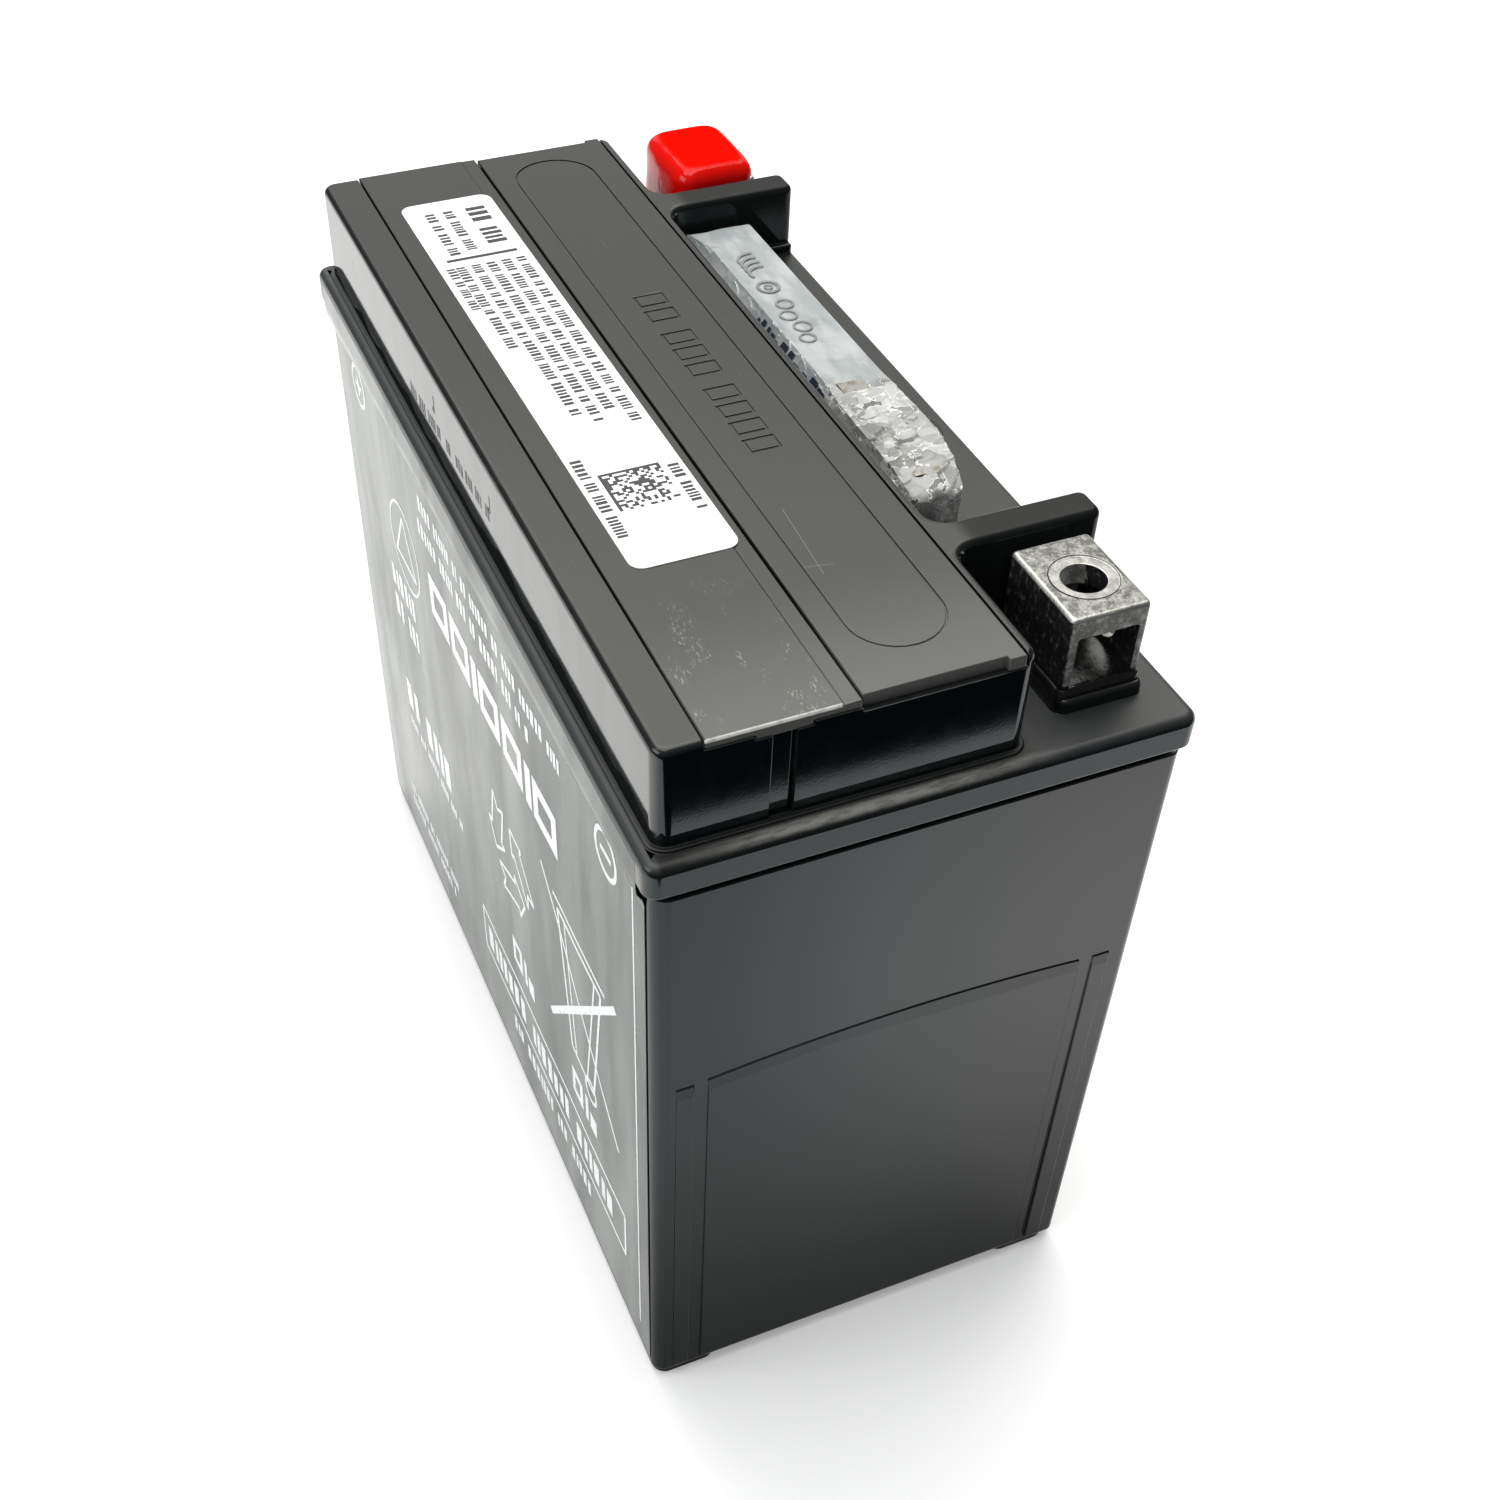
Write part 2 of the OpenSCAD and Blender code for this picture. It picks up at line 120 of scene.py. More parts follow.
CELL_LENGTH = (2 * CASE_HALF - 2 * CASE_WALL - (CELLS - 1) * PARTITION) / CELLS
CELL_PITCH = CELL_LENGTH + PARTITION
VALVE_Y = 1.0
TERMINAL_X = (post_low.x + post_high.x) / 2
TERMINAL_Y = (post_low.y + post_high.y) / 2
GROOVE = (-24.3, -20.8)
GROOVE_Y = (GROOVE[0] + GROOVE[1]) / 2
WELL_Y = (POCKET_FRONT + SEAM_Y) / 2
ROUND_STEPS = 8
FLAG_EDGE = 0.217


def cell_x(index):
    return (index - (CELLS - 1) / 2) * CELL_PITCH


# ---- mesh building ----

def inset_outline(corners, inset, steps=ROUND_STEPS):
    """The plan outline, counter-clockwise, moved inwards, with each (x, y, radius) corner rounded."""
    points = []
    for index, (x, y, radius) in enumerate(corners):
        here = Vector((x, y))
        before = Vector(corners[index - 1][:2])
        after = Vector(corners[(index + 1) % len(corners)][:2])
        way_in = (here - before).normalized()
        way_out = (after - here).normalized()
        side_in = Vector((-way_in.y, way_in.x))
        side_out = Vector((-way_out.y, way_out.x))
        convex = 1 if way_in.x * way_out.y > way_in.y * way_out.x else -1
        corner = here + inset * (side_in + side_out) / (1 + side_in.dot(side_out))
        turned = max(radius - convex * inset, 0.06)
        angle = math.acos(max(-1.0, min(1.0, way_in.dot(way_out))))
        centre = corner - way_in * turned * math.tan(angle / 2) + convex * side_in * turned
        arm = -convex * side_in * turned
        for step in range(steps + 1):
            turn = convex * angle * step / steps
            points.append((
                centre.x + arm.x * math.cos(turn) - arm.y * math.sin(turn),
                centre.y + arm.x * math.sin(turn) + arm.y * math.cos(turn),
            ))
    return points


def rectangle(x0, x1, y0, y1, radius):
    return [(x0, y0, radius), (x1, y0, radius), (x1, y1, radius), (x0, y1, radius)]


def fillet_levels(low, high, fillet_low=0.0, fillet_high=0.0, steps=6):
    """(height, inset) pairs of a wall with a rounded lower and upper edge."""
    levels = []
    for step in range(steps + 1 if fillet_low else 1):
        turn = math.pi / 2 * step / steps
        levels.append((low + fillet_low * (1 - math.cos(turn)), fillet_low * (1 - math.sin(turn))))
    for step in range(steps + 1 if fillet_high else 1):
        turn = math.pi / 2 * step / steps
        levels.append((high - fillet_high * (1 - math.sin(turn)), fillet_high * (1 - math.cos(turn))))
    return levels


def circle(steps, start=0.0):
    """(cosine, sine) pairs once round; start is a share of a step."""
    turns = [2 * math.pi * (step + start) / steps for step in range(steps)]
    return [(math.cos(turn), math.sin(turn)) for turn in turns]


def both_ends(inner, outer):
    """The span between two distances from the middle, at either end."""
    return [(-outer, -inner), (inner, outer)]


def link_mesh(name, mesh):
    data = bpy.data.meshes.new(name)
    bmesh.ops.recalc_face_normals(mesh, faces=mesh.faces)
    mesh.to_mesh(data)
    mesh.free()
    piece = bpy.data.objects.new(name, data)
    bpy.context.scene.collection.objects.link(piece)
    return piece


def add_rings(mesh, rings, cap_low=True, cap_high=True):
    """Adds a skin through rings of equally many points, closed by a face at each end."""
    loops = [[mesh.verts.new(point) for point in ring] for ring in rings]
    for low, high in zip(loops, loops[1:]):
        for index in range(len(low)):
            after = (index + 1) % len(low)
            mesh.faces.new((low[index], low[after], high[after], high[index]))
    if cap_low:
        mesh.faces.new(list(reversed(loops[0])))
    if cap_high:
        mesh.faces.new(loops[-1])
    return loops


def ring_solid(name, rings):
    mesh = bmesh.new()
    add_rings(mesh, rings)
    return link_mesh(name, mesh)


def moulded(name, corners, low, high, fillet_low=0.0, fillet_high=0.0, steps=6, lean=lambda z: 0.0):
    """An upright prism on a rounded plan outline, with rounded edges; lean(z) draws its walls in."""
    levels = fillet_levels(low, high, fillet_low, fillet_high, steps)
    return ring_solid(name, [[(x, y, z) for x, y in inset_outline(corners, inset + lean(z))]
                             for z, inset in levels])


def boxes(name, spans):
    """One piece of separate boxes, each ((x0, x1), (y0, y1), (z0, z1))."""
    mesh = bmesh.new()
    for x, y, z in spans:
        ring = [(x[0], y[0]), (x[1], y[0]), (x[1], y[1]), (x[0], y[1])]
        add_rings(mesh, [[(px, py, height) for px, py in ring] for height in z])
    return link_mesh(name, mesh)


LAID_ALONG = {                  # a point of an upright rod, turned to an axis
    "X": lambda u, v, height: (height, u, v),
    "Y": lambda u, v, height: (v, height, u),
    "Z": lambda u, v, height: (u, v, height),
}


def at_cells(y, radius, low, high):
    """Upright rods, one over every cell."""
    return [((cell_x(i), y), radius, low, high) for i in range(CELLS)]


def rods(name, items, axis="Z", steps=48):
    """One piece of separate round rods, each (centre, radius, low, high) along an axis."""
    mesh = bmesh.new()
    for centre, radius, low, high in items:
        outline = [(centre[0] + radius * c, centre[1] + radius * s) for c, s in circle(steps)]
        add_rings(mesh, [[LAID_ALONG[axis](u, v, height) for u, v in outline] for height in (low, high)])
    return link_mesh(name, mesh)


def bake_modifiers(piece):
    """Turns a piece's modifiers into plain mesh."""
    bpy.context.view_layer.update()
    shape = piece.evaluated_get(bpy.context.evaluated_depsgraph_get())
    data = bpy.data.meshes.new_from_object(shape)
    piece.modifiers.clear()
    old = piece.data
    piece.data = data
    bpy.data.meshes.remove(old)


def combine(piece, operation, *tools):
    """Joins tools to a piece, or cuts them out of it."""
    for tool in tools:
        modifier = piece.modifiers.new("combine", "BOOLEAN")
        modifier.operation = operation
        modifier.solver = "EXACT"
        modifier.object = tool
        bake_modifiers(piece)
        bpy.data.objects.remove(tool)
    return piece


def join(piece, *tools):
    return combine(piece, "UNION", *tools)


def cut(piece, *tools):
    return combine(piece, "DIFFERENCE", *tools)


def clean(piece, gap, flatten=False):
    """Merges points closer than gap, drops faces without area and, if asked, joins faces that are level."""
    mesh = bmesh.new()
    mesh.from_mesh(piece.data)
    bmesh.ops.remove_doubles(mesh, verts=mesh.verts, dist=gap)
    bmesh.ops.dissolve_degenerate(mesh, edges=mesh.edges, dist=gap / 2)
    if flatten:
        bmesh.ops.dissolve_limit(mesh, angle_limit=math.radians(0.4), verts=mesh.verts, edges=mesh.edges)
    mesh.to_mesh(piece.data)
    mesh.free()


def soften(piece, width, sharp_degrees=38, segments=2):
    """Rounds the sharp edges a little and shades the rest smoothly."""
    clean(piece, 0.04, True)
    bevel = piece.modifiers.new("edge", "BEVEL")
    bevel.width = width
    bevel.segments = segments
    bevel.limit_method = "ANGLE"
    bevel.angle_limit = math.radians(sharp_degrees)
    bevel.miter_outer = "MITER_ARC"
    bevel.use_clamp_overlap = False
    bake_modifiers(piece)
    clean(piece, 0.004)
    shade(piece, sharp_degrees)
    return piece


def shade(piece, sharp_degrees=38, flat_width=1.3):
    """Smooth shading: a flat face keeps its own normal, and the narrow faces beside it lean towards it."""
    data = piece.data
    data.shade_smooth()
    data.set_sharp_from_angle(angle=math.radians(sharp_degrees))
    limit = math.cos(math.radians(sharp_degrees))
    flats = []
    around = [[] for _ in data.vertices]
    for face in data.polygons:
        longest = max((data.vertices[a].co - data.vertices[b].co).length for a, b in face.edge_keys)
        flats.append(face.area > flat_width * longest)
        for vertex in face.vertices:
            around[vertex].append(face)
    normals = [Vector((0, 0, 1))] * len(data.loops)
    for face in data.polygons:
        for loop in face.loop_indices:
            normals[loop] = face.normal.copy()
            if flats[face.index]:
                continue
            beside = [other for other in around[data.loops[loop].vertex_index]
                      if other.normal.dot(face.normal) > limit]
            leading = [other for other in beside if flats[other.index]]
            if leading:
                normals[loop] = max(leading, key=lambda other: other.area).normal.copy()
            else:
                total = Vector((0, 0, 0))
                for other in beside:
                    total += other.normal * other.area
                normals[loop] = total.normalized() if total.length > 0 else face.normal.copy()
    data.normals_split_custom_set(normals)


def finish_piece(piece, look, slot, body, *nodes):
    """Brings a piece to metres, dresses it and ties it to its CAD body and nodes."""
    piece.data.transform(Matrix.Scale(MM, 4))
    piece.data.materials.append(LOOKS[look].material)
    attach(piece, body)
    if nodes:
        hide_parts(*nodes)
    return piece


# ---- materials ----

class Signal:
    """A number worked out inside a material. Signals combine with + - * **, abs(), and | for the larger."""

    def __init__(self, look, socket):
        self.look = look
        self.socket = socket

    def operator(operation):
        return lambda self, other=0.0: self.look.math(operation, self, other)

    __add__ = operator("ADD")
    __sub__ = operator("SUBTRACT")
    __mul__ = operator("MULTIPLY")
    __pow__ = operator("POWER")
    __or__ = operator("MAXIMUM")
    __abs__ = operator("ABSOLUTE")


class Look:
    """A procedural material: named noise, marks and bumps feed one Principled shader."""

    def __init__(self, name, colour, roughness, **sockets):
        self.material = bpy.data.materials.new(name)
        self.material.use_nodes = True
        self.tree = self.material.node_tree
        self.shader = self.tree.nodes["Principled BSDF"]
        self.shader.inputs["Base Color"].default_value = (*colour, 1)
        self.shader.inputs["Roughness"].default_value = roughness
        for key, value in sockets.items():
            self.shader.inputs[key.replace("_", " ")].default_value = value
        self.place = self.tree.nodes.new("ShaderNodeTexCoord").outputs["Object"]
        self.x, self.y, self.z = self.parts("ShaderNodeSeparateXYZ", Vector=self.place)
        normal = self.node("ShaderNodeNewGeometry").outputs["Normal"]
        self.normal_x, self.normal_y, self.normal_z = self.parts("ShaderNodeSeparateXYZ", Vector=normal)

    def plug(self, socket, value):
        """Feeds a socket with a signal, another socket, a colour or a plain value."""
        if isinstance(value, Signal):
            value = value.socket
        if isinstance(value, bpy.types.NodeSocket):
            self.tree.links.new(value, socket)
        else:
            socket.default_value = (*value, 1) if socket.type == "RGBA" and len(value) == 3 else value

    def node(self, kind, **inputs):
        """A new node. An input is given by its name, or by i and its number."""
        made = self.tree.nodes.new(kind)
        for key, value in inputs.items():
            self.plug(made.inputs[int(key[1:]) if key[1:].isdigit() else key], value)
        return made

    def parts(self, kind, **inputs):
        return [Signal(self, output) for output in self.node(kind, **inputs).outputs]

    def math(self, operation, first, second=0.0):
        made = self.node("ShaderNodeMath", i0=first, i1=second)
        made.operation = operation
        return Signal(self, made.outputs[0])

    def vector(self, operation, output=0, **inputs):
        made = self.node("ShaderNodeVectorMath", **inputs)
        made.operation = operation
        return made.outputs[output]

    def cloud(self, size_mm, detail=3.0, rough=0.55, scale=(1, 1, 1), turn=(0, 0, 0)):
        """Noise from 0 to 1 whose blotches are about size_mm across."""
        place = self.node("ShaderNodeMapping", Vector=self.place, Scale=scale, Rotation=turn).outputs[0]
        return self.parts("ShaderNodeTexNoise", Vector=place, Scale=1 / (size_mm * MM), Detail=detail,
                          Roughness=rough)[0]

    def between(self, value, low, high, to_low=0.0, to_high=1.0, curve="SMOOTHSTEP"):
        """Maps low..high smoothly to to_low..to_high."""
        made = self.node("ShaderNodeMapRange", i0=value, i1=low, i2=high, i3=to_low, i4=to_high)
        made.interpolation_type = curve
        return Signal(self, made.outputs[0])

    def mix(self, share, first, second, kind="RGBA", at=(6, 7, 2)):
        """Two colours mixed; with the kind and the sockets' numbers given, two numbers or vectors."""
        made = self.tree.nodes.new("ShaderNodeMix")
        made.data_type = kind
        for index, value in ((0, share), (at[0], first), (at[1], second)):
            self.plug(made.inputs[index], value)
        return Signal(self, made.outputs[at[2]])

    def blend(self, share, first, second):
        return self.mix(share, first, second, "FLOAT", (2, 3, 0))

    def scratches(self, length_mm, width_mm, turn, cover=0.12):
        """Thin stray lines: noise drawn out along one direction, thinned by a coarser noise."""
        thin = self.cloud(width_mm, 1.0, 0.5, (width_mm / length_mm, 1, 1), (0, 0, turn))
        line = self.between(thin, 0.74 - 0.1 * cover, 0.80 - 0.1 * cover)
        return line * self.between(self.cloud(length_mm * 2.2, 2.0), 0.56, 0.66)

    def stroke(self, start, end, width_mm):
        """1 on a straight mark between two points in millimetres, 0 off it."""
        a = Vector(start) * MM
        along = Vector(end) * MM - a
        offset = self.vector("SUBTRACT", i0=self.place, i1=tuple(a))
        reach = self.vector("DOT_PRODUCT", "Value", i0=offset, i1=tuple(along / along.length_squared))
        near = self.vector("SCALE", i0=tuple(along), i3=self.between(reach, 0.0, 1.0, curve="LINEAR"))
        gap = self.vector("DISTANCE", "Value", i0=offset, i1=near)
        return self.between(gap, width_mm * MM, width_mm * MM * 0.4)

    def bump(self, height, depth_mm, strength=1.0):
        """Adds a bump whose full height is depth_mm, on top of the ones before it."""
        made = self.node("ShaderNodeBump", Height=height, Strength=strength, Distance=depth_mm * MM)
        if self.shader.inputs["Normal"].is_linked:
            self.plug(made.inputs["Normal"], self.now("Normal"))
        self.set("Normal", made.outputs[0])

    def now(self, socket):
        """What already feeds a socket of the shader."""
        return Signal(self, self.shader.inputs[socket].links[0].from_socket)

    def set(self, socket, value):
        self.plug(self.shader.inputs[socket], value)

    def paint(self, share, colour):
        """Lays a colour over the base colour, as far as share goes."""
        self.set("Base Color", self.mix(share, self.now("Base Color"), colour))


def moulded_plastic(name, colour, gloss, satin, scuffs=1.0, **sockets):
    """Black moulded plastic: glossy upright walls, satin tops, flow marks, dust and stray scratches."""
    look = Look(name, colour, satin, **sockets)
    upward = look.between(look.normal_z, 0.25, 0.95)
    grain = look.cloud(0.45, 3.0)
    flow = look.cloud(30, 2.0, 0.4, (0.35, 1, 1))
    fine = look.scratches(8, 0.09, 0.35)
    cross = look.scratches(6, 0.08, 1.9)
    specks = look.between(look.cloud(0.7, 1.0), 0.815, 0.84)
    marks = (fine | cross | specks) * scuffs
    light = tuple(4.0 * channel + 0.09 for channel in colour)
    tone = look.mix(flow * 0.5, colour, tuple(1.25 * channel for channel in colour))
    look.set("Base Color", look.mix(marks * 0.6, tone, light))
    base = look.between(upward, 0.0, 1.0, gloss, satin)
    uneven = (look.cloud(5, 4.0) - 0.5) * 0.05
    look.set("Roughness", base + uneven + marks * 0.25)
    look.bump(grain, 0.006, 0.4)
    look.bump(look.cloud(24, 1.0), 0.05, 0.35)
    look.bump(marks, 0.012, 0.6)
    look.front = look.between(look.normal_y, -0.6, -0.9)
    # The reflection's tint follows the facing, bluish on walls and warm on tops and front faces: a painted
    # tint of reflected light.
    look.set("Specular Tint", look.mix(upward | look.front, (0.84, 0.97, 1.0), (1.0, 1.0, 0.94)))
    look.upward = upward
    look.endways = look.between(look.normal_x, 0.7, 0.95)
    return look


def lid_plastic():
    """The lid's plastic: a painted highlight along the near flange edge, a painted contact shadow along the
    foot of the stamped wall, which is smeared with ink, painted shade on the deck's end walls and its low
    tops painted lighter.
    """
    look = moulded_plastic("lid_plastic", (0.0075, 0.0088, 0.0088), 0.055, 0.30, Specular_IOR_Level=0.5)
    # A light band along the near flange edge: a painted highlight on its rounded edge.
    flange_edge = look.between(look.x, 0.0850, 0.0858) * look.between(look.z, 0.1364, 0.1371)
    flange_highlight = flange_edge * look.between(abs(look.y + 0.010), 0.034, 0.008)
    flange_highlight = flange_highlight * look.between(look.cloud(0.6, 4.0, 0.6, (1, 0.2, 1)), 0.30, 0.62, 0.45, 1.0)
    look.paint(flange_highlight * 0.62, (0.42, 0.41, 0.38))
    barrier = look.between(look.y, 0.0165, 0.021) * look.between(look.z, 0.1425, 0.1440)
    barrier = barrier * look.between(abs(look.x), 0.0515, 0.0522)
    gloss = look.between(barrier, 0.0, 1.0, 0.5, 0.14)
    # Under a wavy line near the foot of the deck's front wall the reflection is switched off: a painted
    # contact shadow.
    warp = (look.cloud(13, 1.0, 0.5, (1, 0.01, 0.01)) - 0.5) * 0.007
    shade_top = look.between(look.x, -0.085, 0.085, 0.1393, 0.1412) + warp
    above = look.between(look.z - shade_top, -0.0004, 0.0004, 0.0, 1.2)
    smeared = look.between(look.cloud(5, 3.0, 0.55, (1, 1, 0.22)), 0.36, 0.64, 1.0, 1.30)
    deck_front = look.front * look.between(look.z, 0.1374, 0.1380)
    level = look.blend(deck_front, gloss, gloss * (above * smeared))
    # The deck's end walls are painted darker and bluer than the rest of the lid: a painted shade.
    deck_end_shade = look.endways * look.between(look.z, 0.1375, 0.1385)
    look.paint(deck_end_shade * look.between(abs(look.x), 0.0815, 0.0825), (0.0012, 0.0024, 0.0034))
    skirt = look.endways * look.between(look.z, 0.1362, 0.1355)
    look.set("Specular IOR Level", level * look.between(skirt, 0.0, 1.0, 1.0, 0.80))
    # The low flat tops behind and in front of the deck are made rougher and painted lighter.
    low_top = look.upward * look.between(look.z, 0.1390, 0.1378)
    look.set("Roughness", look.now("Roughness") + low_top * 0.16)
    lightened_low_tops = look.between(look.y, 0.0155, 0.0175) * 0.12 + look.between(look.y, -0.0410, -0.0416) * 0.22
    look.paint(low_top * lightened_low_tops, (0.14, 0.15, 0.16))
    look.bump(flange_highlight, 0.01, 0.4)
    return look


def cover_plastic():
    """The two covers: the lid's plastic, rubbed near the end, with a painted highlight along the strip's end
    edge and a cross scratched into it.
    """
    look = moulded_plastic("cover_plastic", (0.0085, 0.0097, 0.0090), 0.12, 0.32, Specular_IOR_Level=0.5)
    long_mark = look.stroke((41, -3.6, DECK_TOP), (57.5, -4.6, DECK_TOP), 0.09)
    short_mark = look.stroke((55, -6.6, DECK_TOP), (55.8, -2.2, DECK_TOP), 0.09)
    strip_end = look.between(look.x, 0.046, 0.080) * look.between(look.y, -0.0125, -0.0160)
    patches = look.between(look.cloud(7, 2.0, 0.5, (1.0, 1.6, 1)), 0.50, 0.62)
    smears = look.between(look.cloud(0.8, 5.0, 0.7, (1.0, 2.2, 1), (0, 0, 0.5)), 0.50, 0.66)
    scuffed = strip_end * (patches * smears) * look.upward
    # A light line along the top of the strip's end edge: a painted highlight.
    edge = look.between(look.x, 0.08355, 0.08375) * look.between(look.y, -0.0140, -0.0146)
    uneven = look.between(look.cloud(1.6, 4.0, 0.6), 0.25, 0.6, 0.5, 1.0)
    rubbed = edge * look.between(look.z, 0.1545, 0.1547) * uneven
    marks = long_mark | short_mark | scuffed | look.between(look.x, 0.056, 0.086, 0.0, 0.22)
    look.paint(marks * 0.6, (0.42, 0.42, 0.40))
    look.paint(rubbed * 0.9, (0.60, 0.60, 0.57))
    look.bump(marks, 0.015, 0.4)
    return look


def case_plastic():
    """The case's plastic: its reflection weakens towards the foot and the printed side, a painted shade."""
    look = moulded_plastic("case_plastic", (0.0065, 0.0076, 0.0080), 0.13, 0.20, 0.8)
    # Weaker reflection low down and towards the printed side: a painted shade of the shadowed floor it
    # reflects. The reflection's tint runs from bluish to warm across the case: a painted tint of reflected
    # light.
    rise = look.between(look.z, 0.005, 0.105, 0.08, 0.53)
    warmer = look.between(look.y, -0.02, 0.035)
    look.set("Specular Tint", look.mix(warmer, (0.84, 0.97, 1.0), (1.0, 1.0, 0.97)))
    look.set("Specular IOR Level", rise * look.between(look.y, -0.044, 0.004, 0.62, 1.0))
    return look


def cast_lead():
    """Grey cast lead: pitted skin, bright rubbed patches, dark oxide in the hollows, a painted highlight on
    its rounded rim, and walls darkened by grime, black sealant near the foot and painted shade on the front
    face.
    """
    look = Look("cast_lead", (0.25, 0.248, 0.235), 0.42, Metallic=1.0)
    pits = look.cloud(0.55, 5.0, 0.62)
    lumps = look.cloud(2.4, 3.0)
    oxide = look.between(look.cloud(1.5, 5.0, 0.7), 0.42, 0.62)
    tone = look.mix(oxide, (0.13, 0.128, 0.120), (0.32, 0.317, 0.300))
    tone = look.mix(look.between(pits, 0.30, 0.40), (0.05, 0.049, 0.046), tone)
    tone = look.mix(look.between(look.cloud(0.4, 4.0, 0.6), 0.60, 0.70), tone, (0.46, 0.455, 0.43))
    # The rounded rim is painted light: a painted highlight.
    rim = look.between(look.normal_z, 0.2, 0.45) * look.between(look.normal_z, 0.995, 0.93)
    from_hole = (abs(look.x) - 0.07017) ** 2.0 + (look.y - 0.03075) ** 2.0
    spot_face = look.between(from_hole, 0.0000275, 0.0000255) * look.between(look.normal_z, 0.5, 0.9)
    tone = look.mix(rim | spot_face * 0.30, tone, (0.60, 0.59, 0.56))
    # The walls darken in patches: grime, black sealant towards the foot and, on the front face, a painted
    # shade.
    wall = look.between(look.normal_z, 0.45, 0.15)
    front = look.between(look.normal_y, -0.4, -0.8)
    low = look.between(look.z, 0.1422, 0.1408)
    shade_and_sealant_reach = front * 0.36 + low * 0.9
    grime_and_painted_shade = look.between(look.cloud(0.8, 5.0, 0.7, (1, 1, 0.6)) + shade_and_sealant_reach, 0.62, 0.84) * wall
    look.set("Base Color", look.mix(grime_and_painted_shade, tone, (0.014, 0.014, 0.015)))
    look.set("Metallic", look.between(wall, 0.0, 1.0, 1.0, 0.35))
    look.set("Roughness", look.between(lumps, 0.3, 0.7, 0.36, 0.55))
    look.bump(pits, 0.12, 0.8)
    look.bump(lumps, 0.12, 0.5)
    return look


def red_vinyl():
    """Dipped vinyl: clear red with a soft gloss, faint ripples and a little dust."""
    look = Look("red_vinyl", (0.62, 0.004, 0.002), 0.20, Subsurface_Weight=0.05, Subsurface_Scale=0.001)
    look.set("Specular IOR Level", look.between(look.normal_z, 0.97, 0.8, 0.0, 0.26))
    ripple = look.cloud(5.5, 3.0)
    fine = look.cloud(0.9, 3.0)
    dust = look.between(look.cloud(0.6, 1.0), 0.78, 0.82)
    tone = look.mix(ripple, (0.66, 0.003, 0.001), (0.76, 0.005, 0.002))
    look.set("Base Color", look.mix(dust * 0.3, tone, (0.8, 0.3, 0.26)))
    look.set("Roughness", look.between(fine, 0.3, 0.7, 0.07, 0.16))
    look.bump(ripple, 0.30, 0.4)
    look.bump(fine, 0.02, 0.4)
    return look


def bag_film():
    """Thin plastic film: printed milky over most of its length, clear and creased at the near end, with
    painted sheen on its facets and painted highlights along its creases.
    """
    look = Look("bag_film", (0.62, 0.645, 0.65), 0.14, Specular_IOR_Level=0.8, IOR=1.5)
    clear = look.between(look.x + look.cloud(6, 3.0) * 0.020, 0.014, 0.024)
    bend = look.node("ShaderNodeTexNoise", Vector=look.place, Scale=400.0, Detail=2.0).outputs["Color"]
    bent = look.mix(0.006, look.place, bend, "VECTOR", (4, 5, 1))
    cells = look.node("ShaderNodeTexVoronoi", Vector=bent, Scale=300.0).outputs["Color"]
    thickness, facet_light, tilt = look.parts("ShaderNodeSeparateColor", Color=cells)
    cracks = look.node("ShaderNodeTexVoronoi", Vector=bent, Scale=300.0)
    cracks.feature = "DISTANCE_TO_EDGE"
    kept = look.between(look.cloud(3.0, 2.0), 0.40, 0.54)
    creases = look.between(cracks.outputs["Distance"], 0.045, 0.010) * kept
    haze = look.cloud(6, 4.0)
    milky = look.between(haze, 0.2, 0.8, 0.90, 0.98)
    see_through = look.between(thickness, 0.0, 1.0, 0.45, 0.85) | creases
    look.set("Alpha", look.blend(clear, milky, see_through))
    streaks = look.between(look.cloud(3.4, 2.0, 0.5, (0.3, 1, 1)), 0.36, 0.66)
    printed = look.mix(streaks, (0.33, 0.355, 0.36), (0.47, 0.49, 0.49))
    # Each facet of the clear end gets its own grey: painted sheen, the facets lit and shaded as they tilt.
    facet_sheen = look.mix(facet_light, (0.30, 0.30, 0.29), (0.60, 0.60, 0.58))
    # White lines along the creases: painted highlights on the crease ridges.
    lines = creases * clear
    look.set("Base Color", look.mix(lines * 0.9, look.mix(clear, printed, facet_sheen), (0.85, 0.85, 0.84)))
    look.set("Roughness", look.between(haze, 0.3, 0.7, 0.08, 0.2))
    look.bump(look.cloud(3.4, 2.0, 0.5), 0.22, 0.5)
    look.bump(tilt * clear, 0.10, 0.4)
    look.bump(lines, 0.05, 0.5)
    return look


def label_film():
    """The glossy film on the printed side: dark, with painted reflection in lighter vertical bands and a
    reflection that strengthens towards the far end, faintly rippled.
    """
    look = Look("label_film", (0.08, 0.088, 0.079), 0.16, Specular_Tint=(0.93, 1.0, 0.90, 1))
    wipe = look.cloud(14, 4.0, 0.55, (1, 1, 0.3))
    # Lighter and darker vertical bands in the colour: painted reflection of the film's ripples.
    rub = look.between(look.cloud(11, 2.0, 0.5, (1, 1, 0.16)), 0.40, 0.62)
    look.set("Base Color", look.mix(rub, (0.022, 0.029, 0.022), (0.102, 0.114, 0.097)))
    look.set("Roughness", look.between(wipe, 0.3, 0.7, 0.12, 0.26))
    # Stronger reflection towards the far end: a painted reflection.
    look.set("Specular IOR Level", look.between(look.x, -0.070, 0.0, 0.31, 0.20))
    look.bump(look.cloud(16, 2.0, 0.5, (1, 1, 0.22)), 0.22, 0.5)
    look.bump(look.cloud(0.5, 2.0), 0.003, 0.4)
    return look


